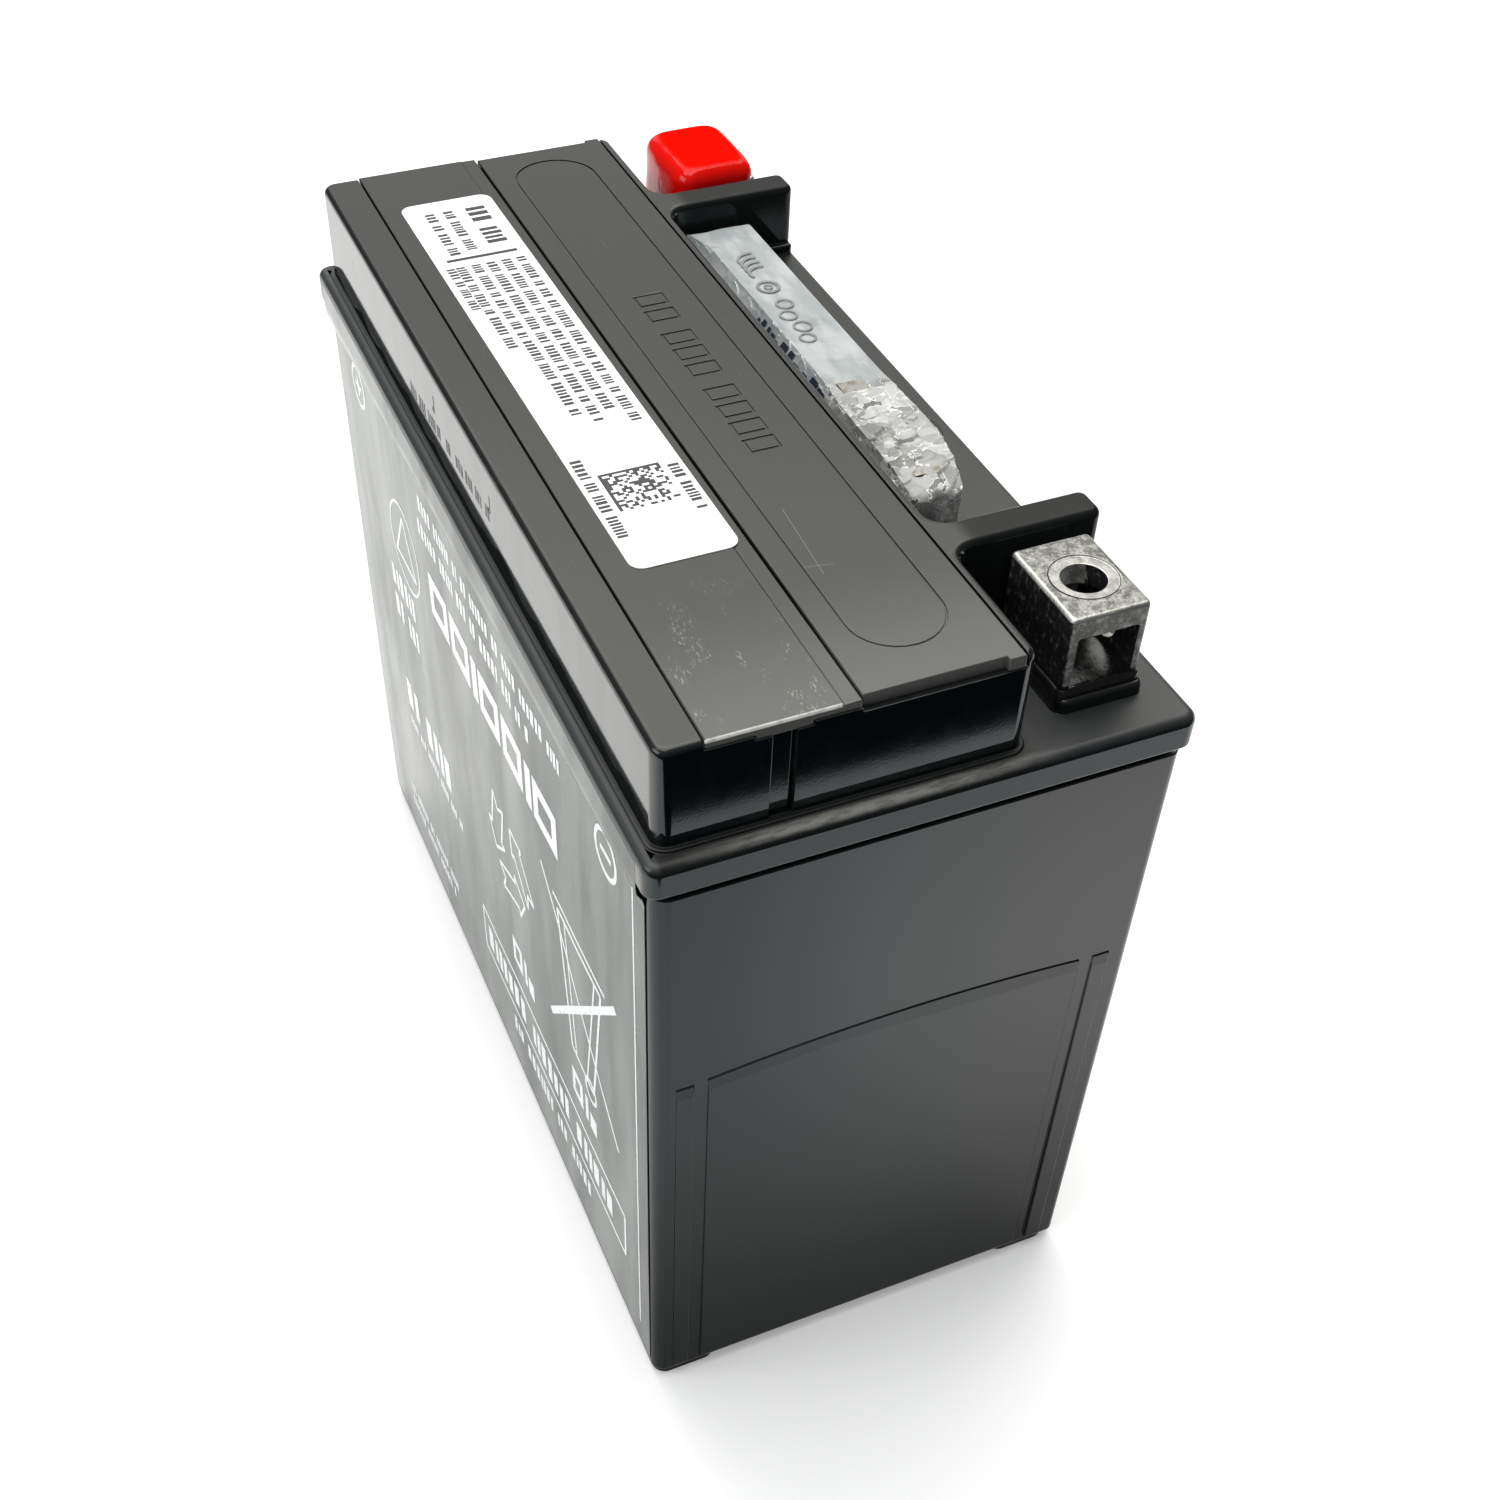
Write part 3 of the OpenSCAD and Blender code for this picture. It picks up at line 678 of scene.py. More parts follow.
def label_paper():
    look = Look("label_paper", (0.90, 0.91, 0.90), 0.42, Specular_IOR_Level=0.4)
    fibres = look.cloud(0.35, 4.0, 0.6, (0.4, 1, 1))
    stain = look.between(look.cloud(18, 3.0), 0.35, 0.8)
    look.set("Base Color", look.mix(stain, (0.93, 0.935, 0.925), (0.86, 0.86, 0.845)))
    look.set("Roughness", look.between(fibres, 0.3, 0.7, 0.36, 0.52))
    look.bump(fibres, 0.006, 0.5)
    return look


def ink(name, colour, roughness, wear):
    """Printing ink, thin in places: wear is how much of it looks rubbed."""
    look = Look(name, colour, roughness)
    rub = look.between(look.cloud(0.9, 4.0, 0.7), 0.58 - wear, 0.80 - wear)
    faded = tuple(0.6 * channel + 0.06 for channel in colour)
    look.set("Base Color", look.mix(rub, colour, faded))
    look.set("Roughness", look.between(look.cloud(2.0, 2.0), 0.3, 0.7, roughness - 0.06, roughness + 0.1))
    look.bump(look.cloud(0.4, 2.0), 0.004, 0.5)
    return look


def metal(name, colour, roughness, stain):
    look = Look(name, colour, roughness, Metallic=1.0)
    patch = look.between(look.cloud(1.6, 4.0, 0.6), 0.42, 0.7)
    look.set("Base Color", look.mix(patch, colour, stain))
    look.set("Roughness", look.between(look.cloud(0.8, 3.0), 0.3, 0.7, roughness - 0.08, roughness + 0.14))
    look.bump(look.cloud(0.3, 3.0), 0.02, 0.5)
    return look


def grainy(name, colour, dark, roughness, size_mm, depth_mm, metallic):
    """A plain rough stuff for the inner pieces: paste, mat, rubber, sealant, sintered plastic."""
    look = Look(name, colour, roughness, Metallic=metallic)
    grain = look.cloud(size_mm, 5.0, 0.65)
    look.set("Base Color", look.mix(look.between(grain, 0.3, 0.7), dark, colour))
    look.set("Roughness", look.between(grain, 0.3, 0.7, roughness - 0.08, min(1.0, roughness + 0.08)))
    look.bump(grain, depth_mm, 0.7)
    return look


INKS = {                        # colour, roughness, wear
    "white_ink": ((0.82, 0.84, 0.84), 0.32, 0.04),
    "black_ink": ((0.012, 0.012, 0.014), 0.4, 0.0),
    "blue_ink": ((0.018, 0.024, 0.045), 0.35, 0.04),
    "grey_ink": ((0.20, 0.21, 0.21), 0.3, 0.10),
}
METALS = {                      # colour, roughness, stain
    "bolt_steel": ((0.30, 0.29, 0.27), 0.36, (0.17, 0.15, 0.12)),
    "nut_brass": ((0.42, 0.31, 0.15), 0.34, (0.26, 0.17, 0.08)),
}
ROUGH_STUFFS = {                # colour, dark, roughness, grain size in mm, depth in mm, metallic
    "seal_rubber": ((0.022, 0.022, 0.022), (0.012, 0.012, 0.012), 0.55, 0.3, 0.02, 0.0),
    "porous_plastic": ((0.80, 0.78, 0.70), (0.55, 0.53, 0.47), 0.85, 0.18, 0.08, 0.0),
    "post_sealant": ((0.010, 0.009, 0.008), (0.005, 0.005, 0.005), 0.22, 1.2, 0.1, 0.0),
    "positive_paste": ((0.115, 0.062, 0.038), (0.050, 0.026, 0.018), 0.9, 0.5, 0.1, 0.0),
    "negative_lead": ((0.30, 0.31, 0.32), (0.16, 0.165, 0.17), 0.6, 0.6, 0.08, 0.6),
    "glass_mat": ((0.86, 0.85, 0.82), (0.66, 0.65, 0.61), 0.95, 0.25, 0.12, 0.0),
}
LOOKS = {
    "case_plastic": case_plastic(),
    "lid_plastic": lid_plastic(),
    "cover_plastic": cover_plastic(),
    "terminal_lead": cast_lead(),
    "red_vinyl": red_vinyl(),
    "bag_film": bag_film(),
    "label_film": label_film(),
    "label_paper": label_paper(),
}
for make, table in ((ink, INKS), (metal, METALS), (grainy, ROUGH_STUFFS)):
    for name, values in table.items():
        LOOKS[name] = make(name, *values)


# ---- case ----

def end_pad(name, face, half_from, half_to, low, top, arch=0.0):
    """A low raised panel on an end wall; its upper edge slopes back, and may rise in an arch."""
    band = 2.3
    step_out = 0.34
    proud = 0.54
    draft = 0.12
    steps = 24

    def outline(drop, inset):
        points = [(half_from + inset, low + inset * 2), (half_to - inset, low + inset * 2)]
        for step in range(steps + 1):
            share = 1 - 2 * step / steps
            y = (half_from + half_to) / 2 + share * ((half_to - half_from) / 2 - inset)
            points.append((y, top + arch * (1 - share * share) - drop))
        return points

    levels = [(-0.5, 0.0, 0.0), (step_out, 0.0, 0.0), (proud, band, draft)]
    rings = []
    for out, drop, inset in levels:
        rings.append([(face + out, y, z) for y, z in outline(drop, inset)])
    return ring_solid(name, rings)


def other_end(piece):
    """A copy of a piece turned half round the upright axis, for the other end."""
    twin = piece.copy()
    twin.data = piece.data.copy()
    twin.data.transform(Matrix.Rotation(math.pi, 4, "Z"))
    bpy.context.scene.collection.objects.link(twin)
    return twin


def case_lean(z):
    """How far the case walls draw in at a height."""
    return 0.45 * (SKIRT_LOW - z) / SKIRT_LOW


def make_case():
    top = SKIRT_LOW - 2.2
    corners = [(-CASE_HALF, -CASE_SIDE, CASE_CORNER), (CASE_HALF, -CASE_SIDE, CASE_CORNER),
               (CASE_HALF, CASE_BACK, 1.9), (-CASE_HALF, CASE_BACK, 1.9)]
    case = moulded("case_shell", corners, CASE_BASE, top, 1.3, 0.2, 9, case_lean)
    rim = rectangle(1 - CASE_HALF, CASE_HALF - 1, 1 - CASE_SIDE, CASE_SIDE - 1, 3.0)
    join(case, moulded("rim", rim, top - 4, case_high.z, 0.0, 0.0))
    face = CASE_HALF - 0.32
    pads = [end_pad("pad", face, -32.9, 32.9, 3.4, 86.2, 1.8)]
    pads += [end_pad("pad", face, 35.4, 38.6, 3.4, 86.0), end_pad("pad", face, -38.2, -35.2, 3.4, 85.8)]
    for pad in pads:
        join(case, other_end(pad), pad)
    foot = 13.0
    edge = 0.9
    for x in (-1, 1):
        for y in (-1, 1):
            span_x = sorted((x * (CASE_HALF - edge), x * (CASE_HALF - foot)))
            span_y = sorted((y * (CASE_SIDE - edge), y * (CASE_SIDE - foot)))
            plan = rectangle(*span_x, *span_y, 2.6)
            join(case, moulded("foot", plan, case_low.z, CASE_BASE + 1, 0.4))
    width = CASE_SIDE - CASE_WALL
    floor = CASE_BASE + CASE_WALL
    half = CELL_LENGTH / 2
    cells = [((cell_x(i) - half, cell_x(i) + half), (-width, width), (floor, case_high.z + 1))
             for i in range(CELLS)]
    cut(case, boxes("cells", cells))
    holes = []
    for i in range(CELLS - 1):
        side = -1 if i % 2 == 0 else 1
        holes.append(((side * TERMINAL_Y, 125), 4.5, cell_x(i) + half - 0.5, cell_x(i + 1) - half + 0.5))
    cut(case, rods("holes", holes, "X"))
    soften(case, 0.15, 13, 3)
    finish_piece(case, "case_plastic", "case_plastic", "battery", "case")


# ---- lid ----

def deck_outline():
    """Plan of the raised deck and its two barrier walls, counter-clockwise."""
    return [
        (-DECK_HALF, DECK_FRONT, DECK_CORNER), (DECK_HALF, DECK_FRONT, DECK_CORNER),
        (DECK_HALF, DECK_BACK, 2.2), (BARRIER_OUT, DECK_BACK, COVE), (BARRIER_OUT, BARRIER_BACK, 1.6),
        (BARRIER_IN, BARRIER_BACK, 1.6), (BARRIER_IN, DECK_BACK, COVE),
        (-BARRIER_IN, DECK_BACK, COVE), (-BARRIER_IN, BARRIER_BACK, 1.6), (-BARRIER_OUT, BARRIER_BACK, 1.6),
        (-BARRIER_OUT, DECK_BACK, COVE), (-DECK_HALF, DECK_BACK, 2.2),
    ]


def terminal_collar(side):
    margin = 0.9
    span = both_ends(post_low.x - margin, post_high.x + margin)[side > 0]
    corners = rectangle(*span, post_low.y - margin, post_high.y + margin, 1.5)
    return moulded("collar", corners, FLANGE_TOP - 1, 139.6, 0.0, 0.7, 4)


def make_lid():
    flange = rectangle(-HALF_LENGTH, HALF_LENGTH, -HALF_WIDTH, HALF_WIDTH, FLANGE_CORNER)
    lid = moulded("lid_shell", flange, SKIRT_LOW, FLANGE_TOP, 0.6, FLANGE_FILLET)
    bead = rectangle(-DECK_HALF - BEAD, DECK_HALF + BEAD, DECK_FRONT - BEAD, DECK_BACK + BEAD,
                     DECK_CORNER + BEAD)
    join(lid, moulded("bead", bead, FLANGE_TOP - 1, FLANGE_TOP + 0.5, 0.0, 0.3, 3))
    recess = rectangle(-BARRIER_IN - 1, BARRIER_IN + 1, DECK_BACK - 1, BARRIER_BACK - 0.15, 1.0)
    join(lid, moulded("recess", recess, FLANGE_TOP - 1, RECESS_FLOOR, 0.0, 1.0, 4))
    join(lid, moulded("deck", deck_outline(), FLANGE_TOP - 0.6, DECK_TOP, 0.0, DECK_FILLET))
    for side, span in zip((-1, 1), both_ends(BARRIER_IN - 1.4, BARRIER_IN + 0.5)):
        ledge = rectangle(*span, 34.5, 40.6, 0.6)
        join(lid, moulded("ledge", ledge, RECESS_FLOOR - 0.5, 144.0, 0.0, 0.5, 3), terminal_collar(side))
    cut(lid, boxes("pocket", [((-HALF_LENGTH, HALF_LENGTH), POCKET, (POCKET_FLOOR + 0.7, DECK_TOP + 1))]))
    inner = DECK_HALF - 1.8
    notch = 4.3
    cut(lid, boxes("pocket_floor", [((-inner, inner), POCKET, ABOVE_FLOOR)]))
    ends = both_ends(inner - 0.5, HALF_LENGTH)
    cut(lid, boxes("notches", [(x, (GROOVE_Y - notch, GROOVE_Y + notch), ABOVE_FLOOR) for x in ends]))
    cut(lid, boxes("cover_seats", [(x, (SEAM_Y, POCKET_BACK), ABOVE_FLOOR) for x in ends]))
    for depth, span in ((0.45, GROOVE), (1.5, (GROOVE[1] - 0.55, GROOVE[1]))):
        sides = both_ends(DECK_HALF - depth, HALF_LENGTH)
        cut(lid, boxes("grooves", [(x, span, (FLANGE_TOP + 0.5, POCKET_FLOOR + 0.5)) for x in sides]))
    hollow_lid(lid)
    film_seat = ((-83.2, 83.2), (-HALF_WIDTH - 1, 0.3 - HALF_WIDTH), (SKIRT_LOW - 1, film_high.z))
    cut(lid, boxes("film_seat", [film_seat]))
    mark = rods("mark", [((12.5, 32.5), 6.3, RECESS_FLOOR - 0.18, RECESS_FLOOR + 1)])
    cut(mark, rods("mark_core", [((12.5, 32.5), 5.9, RECESS_FLOOR - 1, RECESS_FLOOR + 2)]))
    cut(lid, mark)
    soften(lid, 0.16)
    finish_piece(lid, "lid_plastic", "lid_plastic", "battery", "lid")


def hollow_lid(lid):
    """Cuts the inside of the lid: the rim seat, the cell hollows, the plug wells and the posts' holes."""
    rim = rectangle(0.8 - CASE_HALF, CASE_HALF - 0.8, 0.8 - CASE_SIDE, CASE_SIDE - 0.8, 3.2)
    cut(lid, moulded("rim_seat", rim, SKIRT_LOW - 1, 135.0, 0.0, 0.0))
    half = CELL_LENGTH / 2
    wall = 2.5
    roof = POCKET_FLOOR - 2.5
    hollows = []
    for i in range(CELLS):
        x0 = max(cell_x(i) - half, wall - DECK_HALF)
        x1 = min(cell_x(i) + half, DECK_HALF - wall)
        hollows.append(((x0, x1), (DECK_FRONT + wall, WELL_Y - 9), (134.5, roof)))
        hollows.append(((x0, x1), (WELL_Y + 9, DECK_BACK - wall), (134.5, 141.0)))
    cut(lid, boxes("hollows", hollows))
    cut(lid, rods("wells", at_cells(WELL_Y, 7.0, 134.0, POCKET_FLOOR + 1)))
    cut(lid, boxes("chamber", [((-77, 77), (-7.5, 9.5), (143, POCKET_FLOOR + 1))]))
    cut(lid, rods("nozzles", at_cells(VALVE_Y, 1.5, 134.0, 144.0)))
    places = [(side * TERMINAL_X, TERMINAL_Y) for side in (-1, 1)]
    join(lid, rods("bosses", [(place, 8.0, lid_low.z, 136.0) for place in places]))
    cut(lid, rods("post_seals", [(place, 6.8, lid_low.z - 1, 133.0) for place in places]))
    cut(lid, rods("posts", [(place, 4.5, 130.0, 136.8) for place in places]))
    cut(lid, boxes("sockets", [(x, (post_low.y - 0.65, post_high.y), (136.5, 145.0))
                               for x in both_ends(post_low.x - 0.5, post_high.x)]))


# ---- covers ----

def make_strip():
    half = strip_high.x
    front, back = strip_low.y, strip_high.y + 0.12
    step = back - 2.6
    plan = rectangle(-half, half, front, back, 0.25)
    base = moulded("cap_strip", plan, POCKET_FLOOR + 0.72, DECK_TOP - 0.15, 0.0, 0.2, 2)
    raised = rectangle(-half, half, front, step, 0.3)
    join(base, moulded("raised", raised, DECK_TOP - 1, DECK_TOP, 0.0, 0.35, 4))
    inner = DECK_HALF - 2.1
    tray = (POCKET_FLOOR, POCKET_FLOOR + 1)
    join(base, boxes("tray", [((-inner, inner), (front + 0.2, back - 0.2), tray)]))
    tab = 4.1
    tabs = [(x, (GROOVE_Y - tab, GROOVE_Y + tab), tray) for x in both_ends(inner - 0.5, half)]
    join(base, boxes("tabs", tabs))
    join(base, rods("plugs", at_cells(WELL_Y, 6.6, strip_low.z, POCKET_FLOOR + 0.5)))
    soften(base, 0.12)
    finish_piece(base, "cover_plastic", "lid_plastic", "battery", "sealing_cap_strip")


def engraved_frames():
    """Cutters for three rows of plain open frames, engraved where a caution would stand."""
    line = 0.42
    height = 5.4
    pitch = 5.2
    slots = []
    start = -24.7
    for count in (2, 3, 4):
        for index in range(count):
            x0 = start + index * pitch
            x1 = x0 + 3.7
            y0, y1 = -height / 2 + 0.6, height / 2 + 0.6
            slots += [((x0, x1), (y0, y0 + line)), ((x0, x1), (y1 - line, y1))]
            slots += [((x0, x0 + line), (y0 + line, y1 - line)), ((x1 - line, x1), (y0 + line, y1 - line))]
        start += count * pitch + 2.6
    return slots


def make_vent_cover():
    half = cover_high.x
    front, back = cover_low.y - 0.12, cover_high.y
    step = 0.8
    low = POCKET_FLOOR
    body = rectangle(step - half, half - step, front, back, 0.25)
    cover = moulded("vent_cover", body, low, DECK_TOP, 0.0, 0.3, 3)
    rail = rectangle(-half, half, back - 2.75, back, 0.25)
    join(cover, moulded("rear_rail", rail, low, DECK_TOP, 0.0, 0.3, 3))
    join(cover, rods("stops", at_cells(VALVE_Y, 3.0, cover_low.z, low + 0.5)))
    outer = rectangle(-78.5, 76.5, -7.1, 8.3, 7.65)
    floor = 0.06
    cut(cover, moulded("stadium", outer, DECK_TOP - floor, DECK_TOP + 1))
    line = moulded("line", outer, DECK_TOP - 0.3, DECK_TOP + 1)
    cut(line, ring_solid("line_core", [[(x, y, z) for x, y in inset_outline(outer, 0.34)]
                                       for z in (DECK_TOP - 1, DECK_TOP + 2)]))
    cut(cover, line)
    for x, y in engraved_frames():
        cut(cover, boxes("frame", [(x, y, (DECK_TOP - floor - 0.22, DECK_TOP + 1))]))
    soften(cover, 0.09)
    finish_piece(cover, "cover_plastic", "lid_plastic", "battery", "valve_cover")


# ---- terminals and cap ----

def face_end(piece, side):
    """Mirrors a piece made for the near end if its side is -1, the far one."""
    if side < 0:
        piece.data.transform(Matrix.Scale(-1, 4, (1, 0, 0)))
        piece.data.flip_normals()


def make_terminal(name, side, node):
    """A cast lead block with a nut slot from its outer end, an upright and a sideways bolt hole."""
    x0, x1 = post_low.x - 0.45, post_high.x - 0.3
    y0, y1 = post_low.y - 0.6, post_high.y
    top = post_high.z
    block = moulded(name, rectangle(x0, x1, y0, y1, 0.9), FLANGE_TOP - 0.6, top, 0.0, 0.8, 5)
    join(block, rods("post", [((TERMINAL_X, TERMINAL_Y), 4.4, post_low.z, FLANGE_TOP)]))
    slot_low, slot_top = 141.0, 149.8
    cut(block, boxes("slot", [((x0 + 2, x1 + 1), (y0 + 1.6, y0 + 11.6), (slot_low, slot_top))]))
    cut(block, rods("bolt_hole", [((TERMINAL_X, TERMINAL_Y), 3.4, slot_top - 1, top + 1)]))
    cut(block, rods("spot", [((TERMINAL_X, TERMINAL_Y), 5.2, top - 0.25, top + 1)]))
    cut(block, rods("side_hole", [((145.4, TERMINAL_X), 3.3, TERMINAL_Y, y1 + 1)], "Y"))
    soften(block, 0.3)
    face_end(block, side)
    finish_piece(block, "terminal_lead", "terminal_lead", "battery", node)


def make_sealant(name, side):
    """Black sealant that has crept up round a terminal's foot."""
    mesh = bmesh.new()
    rings = []
    for z, grow in ((FLANGE_TOP - 0.3, 0.9), (138.0, 0.6), (139.4, 0.42), (140.9, 0.34), (141.1, -0.6)):
        corners = rectangle(post_low.x - 0.45 - grow, post_high.x - 0.3 + grow, post_low.y - 0.6 - grow,
                            post_high.y + min(grow, 1.0), 0.9 + max(grow, 0))
        ring = []
        for x, y in inset_outline(corners, 0.0, 7):
            swell = 0.55 * noise.noise(Vector((x, y, z)) / 2.1)
            ring.append((x + swell * 0.5, y + swell * 0.5, z + swell * (z - FLANGE_TOP) / 5))
        rings.append(ring)
    add_rings(mesh, rings)
    bead = link_mesh(name, mesh)
    bead.data.shade_smooth()
    face_end(bead, side)
    finish_piece(bead, "post_sealant", "post_sealant", "battery")


def superellipse(half_x, half_y, power, steps=72):
    def eased(value):
        return math.copysign(abs(value) ** (2 / power), value)

    return [(half_x * eased(c), half_y * eased(s)) for c, s in circle(steps)]


def make_red_cap():
    """A dipped vinyl cap: squarish with a soft crown, open below, its hem slightly flared."""
    centre_x, centre_y = (cap_low.x + cap_high.x) / 2 - 0.4, (cap_low.y + cap_high.y) / 2 - 1.5
    half_x, half_y = (cap_high.x - cap_low.x) / 2 - 0.1, (cap_high.y - cap_low.y) / 2 + 0.5
    wall = 1.2
    crown = 3.4
    lean = 0.35

    def section(reach_x, reach_y, power, z):
        return [(centre_x + x, centre_y + y, z) for x, y in superellipse(reach_x, reach_y, power)]

    def skin(offset, low, high, radius, dish):
        rings = []
        walls = 6
        for step in range(walls):
            share = step / walls
            z = low + (high - radius - low) * share
            rings.append((z, offset + lean * share))
        for step in range(9):
            turn = math.pi / 2 * step / 8
            z = high - radius * (1 - math.sin(turn))
            rings.append((z, offset + lean + radius * (1 - math.cos(turn))))
        made = [section(half_x - inset, half_y - inset, 5.0, z) for z, inset in rings]
        top_x, top_y = half_x - rings[-1][1], half_y - rings[-1][1]
        for share in (0.75, 0.5, 0.25):
            made.append(section(top_x * share, top_y * share, 3.6, high - dish * (1 - share * share)))
        return made

    outer = skin(0.0, cap_low.z + 0.4, cap_high.z - 0.05, crown, 0.25)
    inner = skin(wall, cap_low.z + 0.4, cap_high.z - 2.4, 1.6, 0.0)
    mesh = bmesh.new()
    hem = [section(half_x - inset, half_y - inset, 5.0, cap_low.z) for inset in (wall - 0.35, 0.35)]
    add_rings(mesh, [list(ring) for ring in reversed(inner)] + hem + outer)
    cap = link_mesh("red_cap", mesh)
    sub = cap.modifiers.new("smooth", "SUBSURF")
    sub.levels = sub.render_levels = 1
    bake_modifiers(cap)
    for vertex in cap.data.vertices:
        swell = noise.noise(vertex.co / 7.0) * 0.18
        vertex.co.x += swell * (vertex.co.x - centre_x) / half_x
        vertex.co.y += swell * (vertex.co.y - centre_y) / half_y
    cap.data.shade_smooth()
    finish_piece(cap, "red_vinyl", "red_vinyl", "terminal_cap", "positive_terminal_cap")


# ---- hardware packet ----

BAG_FLAT_TOP = bag_low.z + 8.1


def crumpled(spot):
    """Height of crumpled film: tilted facets that meet in sharp ridges, from about -1 to 1."""
    gaps, places = noise.voronoi(spot)
    tilt = noise.cell_vector(places[0] * 7.3)
    facet = tilt.dot(spot - places[0])
    ridge = 1 - min(1.0, (gaps[1] - gaps[0]) * 2.6)
    return 0.9 * facet + 0.45 * ridge * ridge - 0.1


def bag_section(x, x0, x1):
    """The packet's section at one place of its length: its corners (y, z) and how rough it is there."""
    low = bag_low.z
    rough = 1 / (1 + math.exp(-(x - 10.0) / 2.2))
    fall = max(0.0, (x - 33.0) / (x1 - 33.0))
    top = BAG_FLAT_TOP + 0.75 * rough - 1.3 * fall
    back = bag_high.y - 0.45 - 2.7 * max(0.0, (x - 25.0) / (x1 - 25.0)) ** 1.2
    front = bag_low.y + 0.35
    far_corner = max(0.0, 1 - (x - x0) / 7.0)
    ridge_front = 20.3 - 1.3 * rough - 2.2 * far_corner
    corners = [(back - 0.3, low), (back, top - 0.25), (ridge_front, top), (front, low + 3.4),
               (front + 0.8, low)]
    return corners, rough


def make_bag():
    """A film packet round the hardware: flat and printed far off, crumpled over the bolts nearby."""
    along, side_steps = 320, 24
    x0, x1 = bag_low.x + 0.3, bag_high.x - 0.3
    low = bag_low.z
    rings = []
    for i in range(along + 1):
        x = x0 + (x1 - x0) * i / along
        corners, rough = bag_section(x, x0, x1)
        end = min(x - x0, x1 - x)
        closed = 1 - 0.22 * math.exp(-end / 0.3)
        top = corners[2][1]
        middle = Vector(((corners[1][0] + corners[3][0]) / 2, (low + top) / 2))
        ring = []
        for side, (here, after) in enumerate(zip(corners, corners[1:] + corners[:1])):
            for step in range(side_steps):
                share = step / side_steps
                share -= 0.06 * math.sin(2 * math.pi * share)
                spot = Vector(here).lerp(Vector(after), share)
                push = 0.0
                if side != 4:
                    push += rough * 0.50 * crumpled(Vector((x, 1.2 * spot.x, 1.2 * spot.y)) / 4.6)
                    push += rough * 0.12 * crumpled(Vector((x + 40, 1.2 * spot.x, 1.2 * spot.y)) / 1.9)
                if side == 1:
                    swell = noise.noise(Vector((x / 9, spot.x / 6, 0.0)))
                    push += 0.16 * swell * min(1.0, 5 * share, 5 - 5 * share)
                    corner_depth = min(1.3 * (7.5 - (x - x0)), 0.9 * (25.0 - spot.x) - 0.35 * (x - x0))
                    push -= 0.12 * max(0.0, min(corner_depth, 3.0))
                if side == 2:
                    push += (0.30 - 0.2 * rough) * crumpled(Vector((0.7 * x, spot.x, spot.y)) / 2.6)
                outward = Vector((spot.x, spot.y)) - middle
                outward.normalize()
                spot = middle + (spot - middle) * closed + Vector((0.5 * outward.x, outward.y)) * push
                ring.append((x, spot.x, max(low, spot.y)))
        rings.append(ring)
    bag = ring_solid("packet_film", rings)
    for vertex in bag.data.vertices:
        vertex.co.z = min(vertex.co.z, bag_high.z - 0.05)
        vertex.co.y = max(bag_low.y + 0.05, min(bag_high.y - 0.05, vertex.co.y))
    bag.data.shade_smooth()
    bag.data.set_sharp_from_angle(angle=math.radians(30))
    finish_piece(bag, "bag_film", "bag_film", "hardware_packet", "hardware_bag")


def threaded_rod(mesh, start, end, y, z, radius, pitch=1.0):
    """A screw thread along X: a ridge that climbs one pitch a turn."""
    around = 20
    depth = 0.28
    turns = abs(end - start) / pitch
    rows = int(turns * 6)
    rings = []
    for row in range(rows + 1):
        share = row / rows
        fade = min(1.0, 6 * share, 6 * (1 - share))
        ring = []
        for step, (c, s) in enumerate(circle(around)):
            phase = (share * turns - step / around) % 1.0
            r = radius - depth + depth * (1 - abs(2 * phase - 1)) * fade
            ring.append((start + (end - start) * share, y + r * c, z + r * s))
        rings.append(ring)
    if end < start:
        rings.reverse()
    add_rings(mesh, rings)


def bolt_places():
    """Each bolt's (head outer face x, shank end x), read from the box that holds the two bolts."""
    length = 16.0
    return [(bolts_high.x, bolts_high.x - length), (bolts_low.x + length, bolts_low.x)]


def make_bolts():
    """Two hexagon-head bolts lying along the packet."""
    mesh = bmesh.new()
    head = 4.0
    y = (bolts_low.y + bolts_high.y) / 2
    z = (bolts_low.z + bolts_high.z) / 2
    corner = (bolts_high.z - bolts_low.z) / math.sqrt(3)
    for outer, tip in bolt_places():
        way = 1 if outer > tip else -1
        levels = ((0.9, 0.0), (0.15, 0.45), (0.0, 0.8), (0.0, head - 0.3), (0.3, head))
        add_rings(mesh, [[(outer - way * back, y + (corner - inset) * s, z + (corner - inset) * c)
                          for c, s in circle(6, 0.5)] for inset, back in levels])
        threaded_rod(mesh, outer - way * (head - 0.5), tip, y, z, 3.0)
    bolts = link_mesh("hex_bolts", mesh)
    shade(bolts, 32)
    finish_piece(bolts, "bolt_steel", "bolt_steel", "hardware_packet", "terminal_bolts")


def make_nuts():
    """Two square nuts lying flat."""
    side = 9.7
    y = (nuts_low.y + nuts_high.y) / 2
    nuts = None
    for x in (nuts_low.x + side / 2, nuts_high.x - side / 2):
        corners = rectangle(x - side / 2, x + side / 2, y - side / 2, y + side / 2, 0.5)
        nut = moulded("square_nuts", corners, nuts_low.z, nuts_high.z, 0.5, 0.5, 3)
        cut(nut, rods("bore", [((x, y), 2.75, nuts_low.z - 1, nuts_high.z + 1)]))
        nuts = nut if nuts is None else join(nuts, nut)
    soften(nuts, 0.2)
    finish_piece(nuts, "nut_brass", "nut_brass", "hardware_packet", "terminal_nuts")


# ---- labels ----

FILM_BEND = SKIRT_LOW - 1.5
FILM_BLEND = 3.0


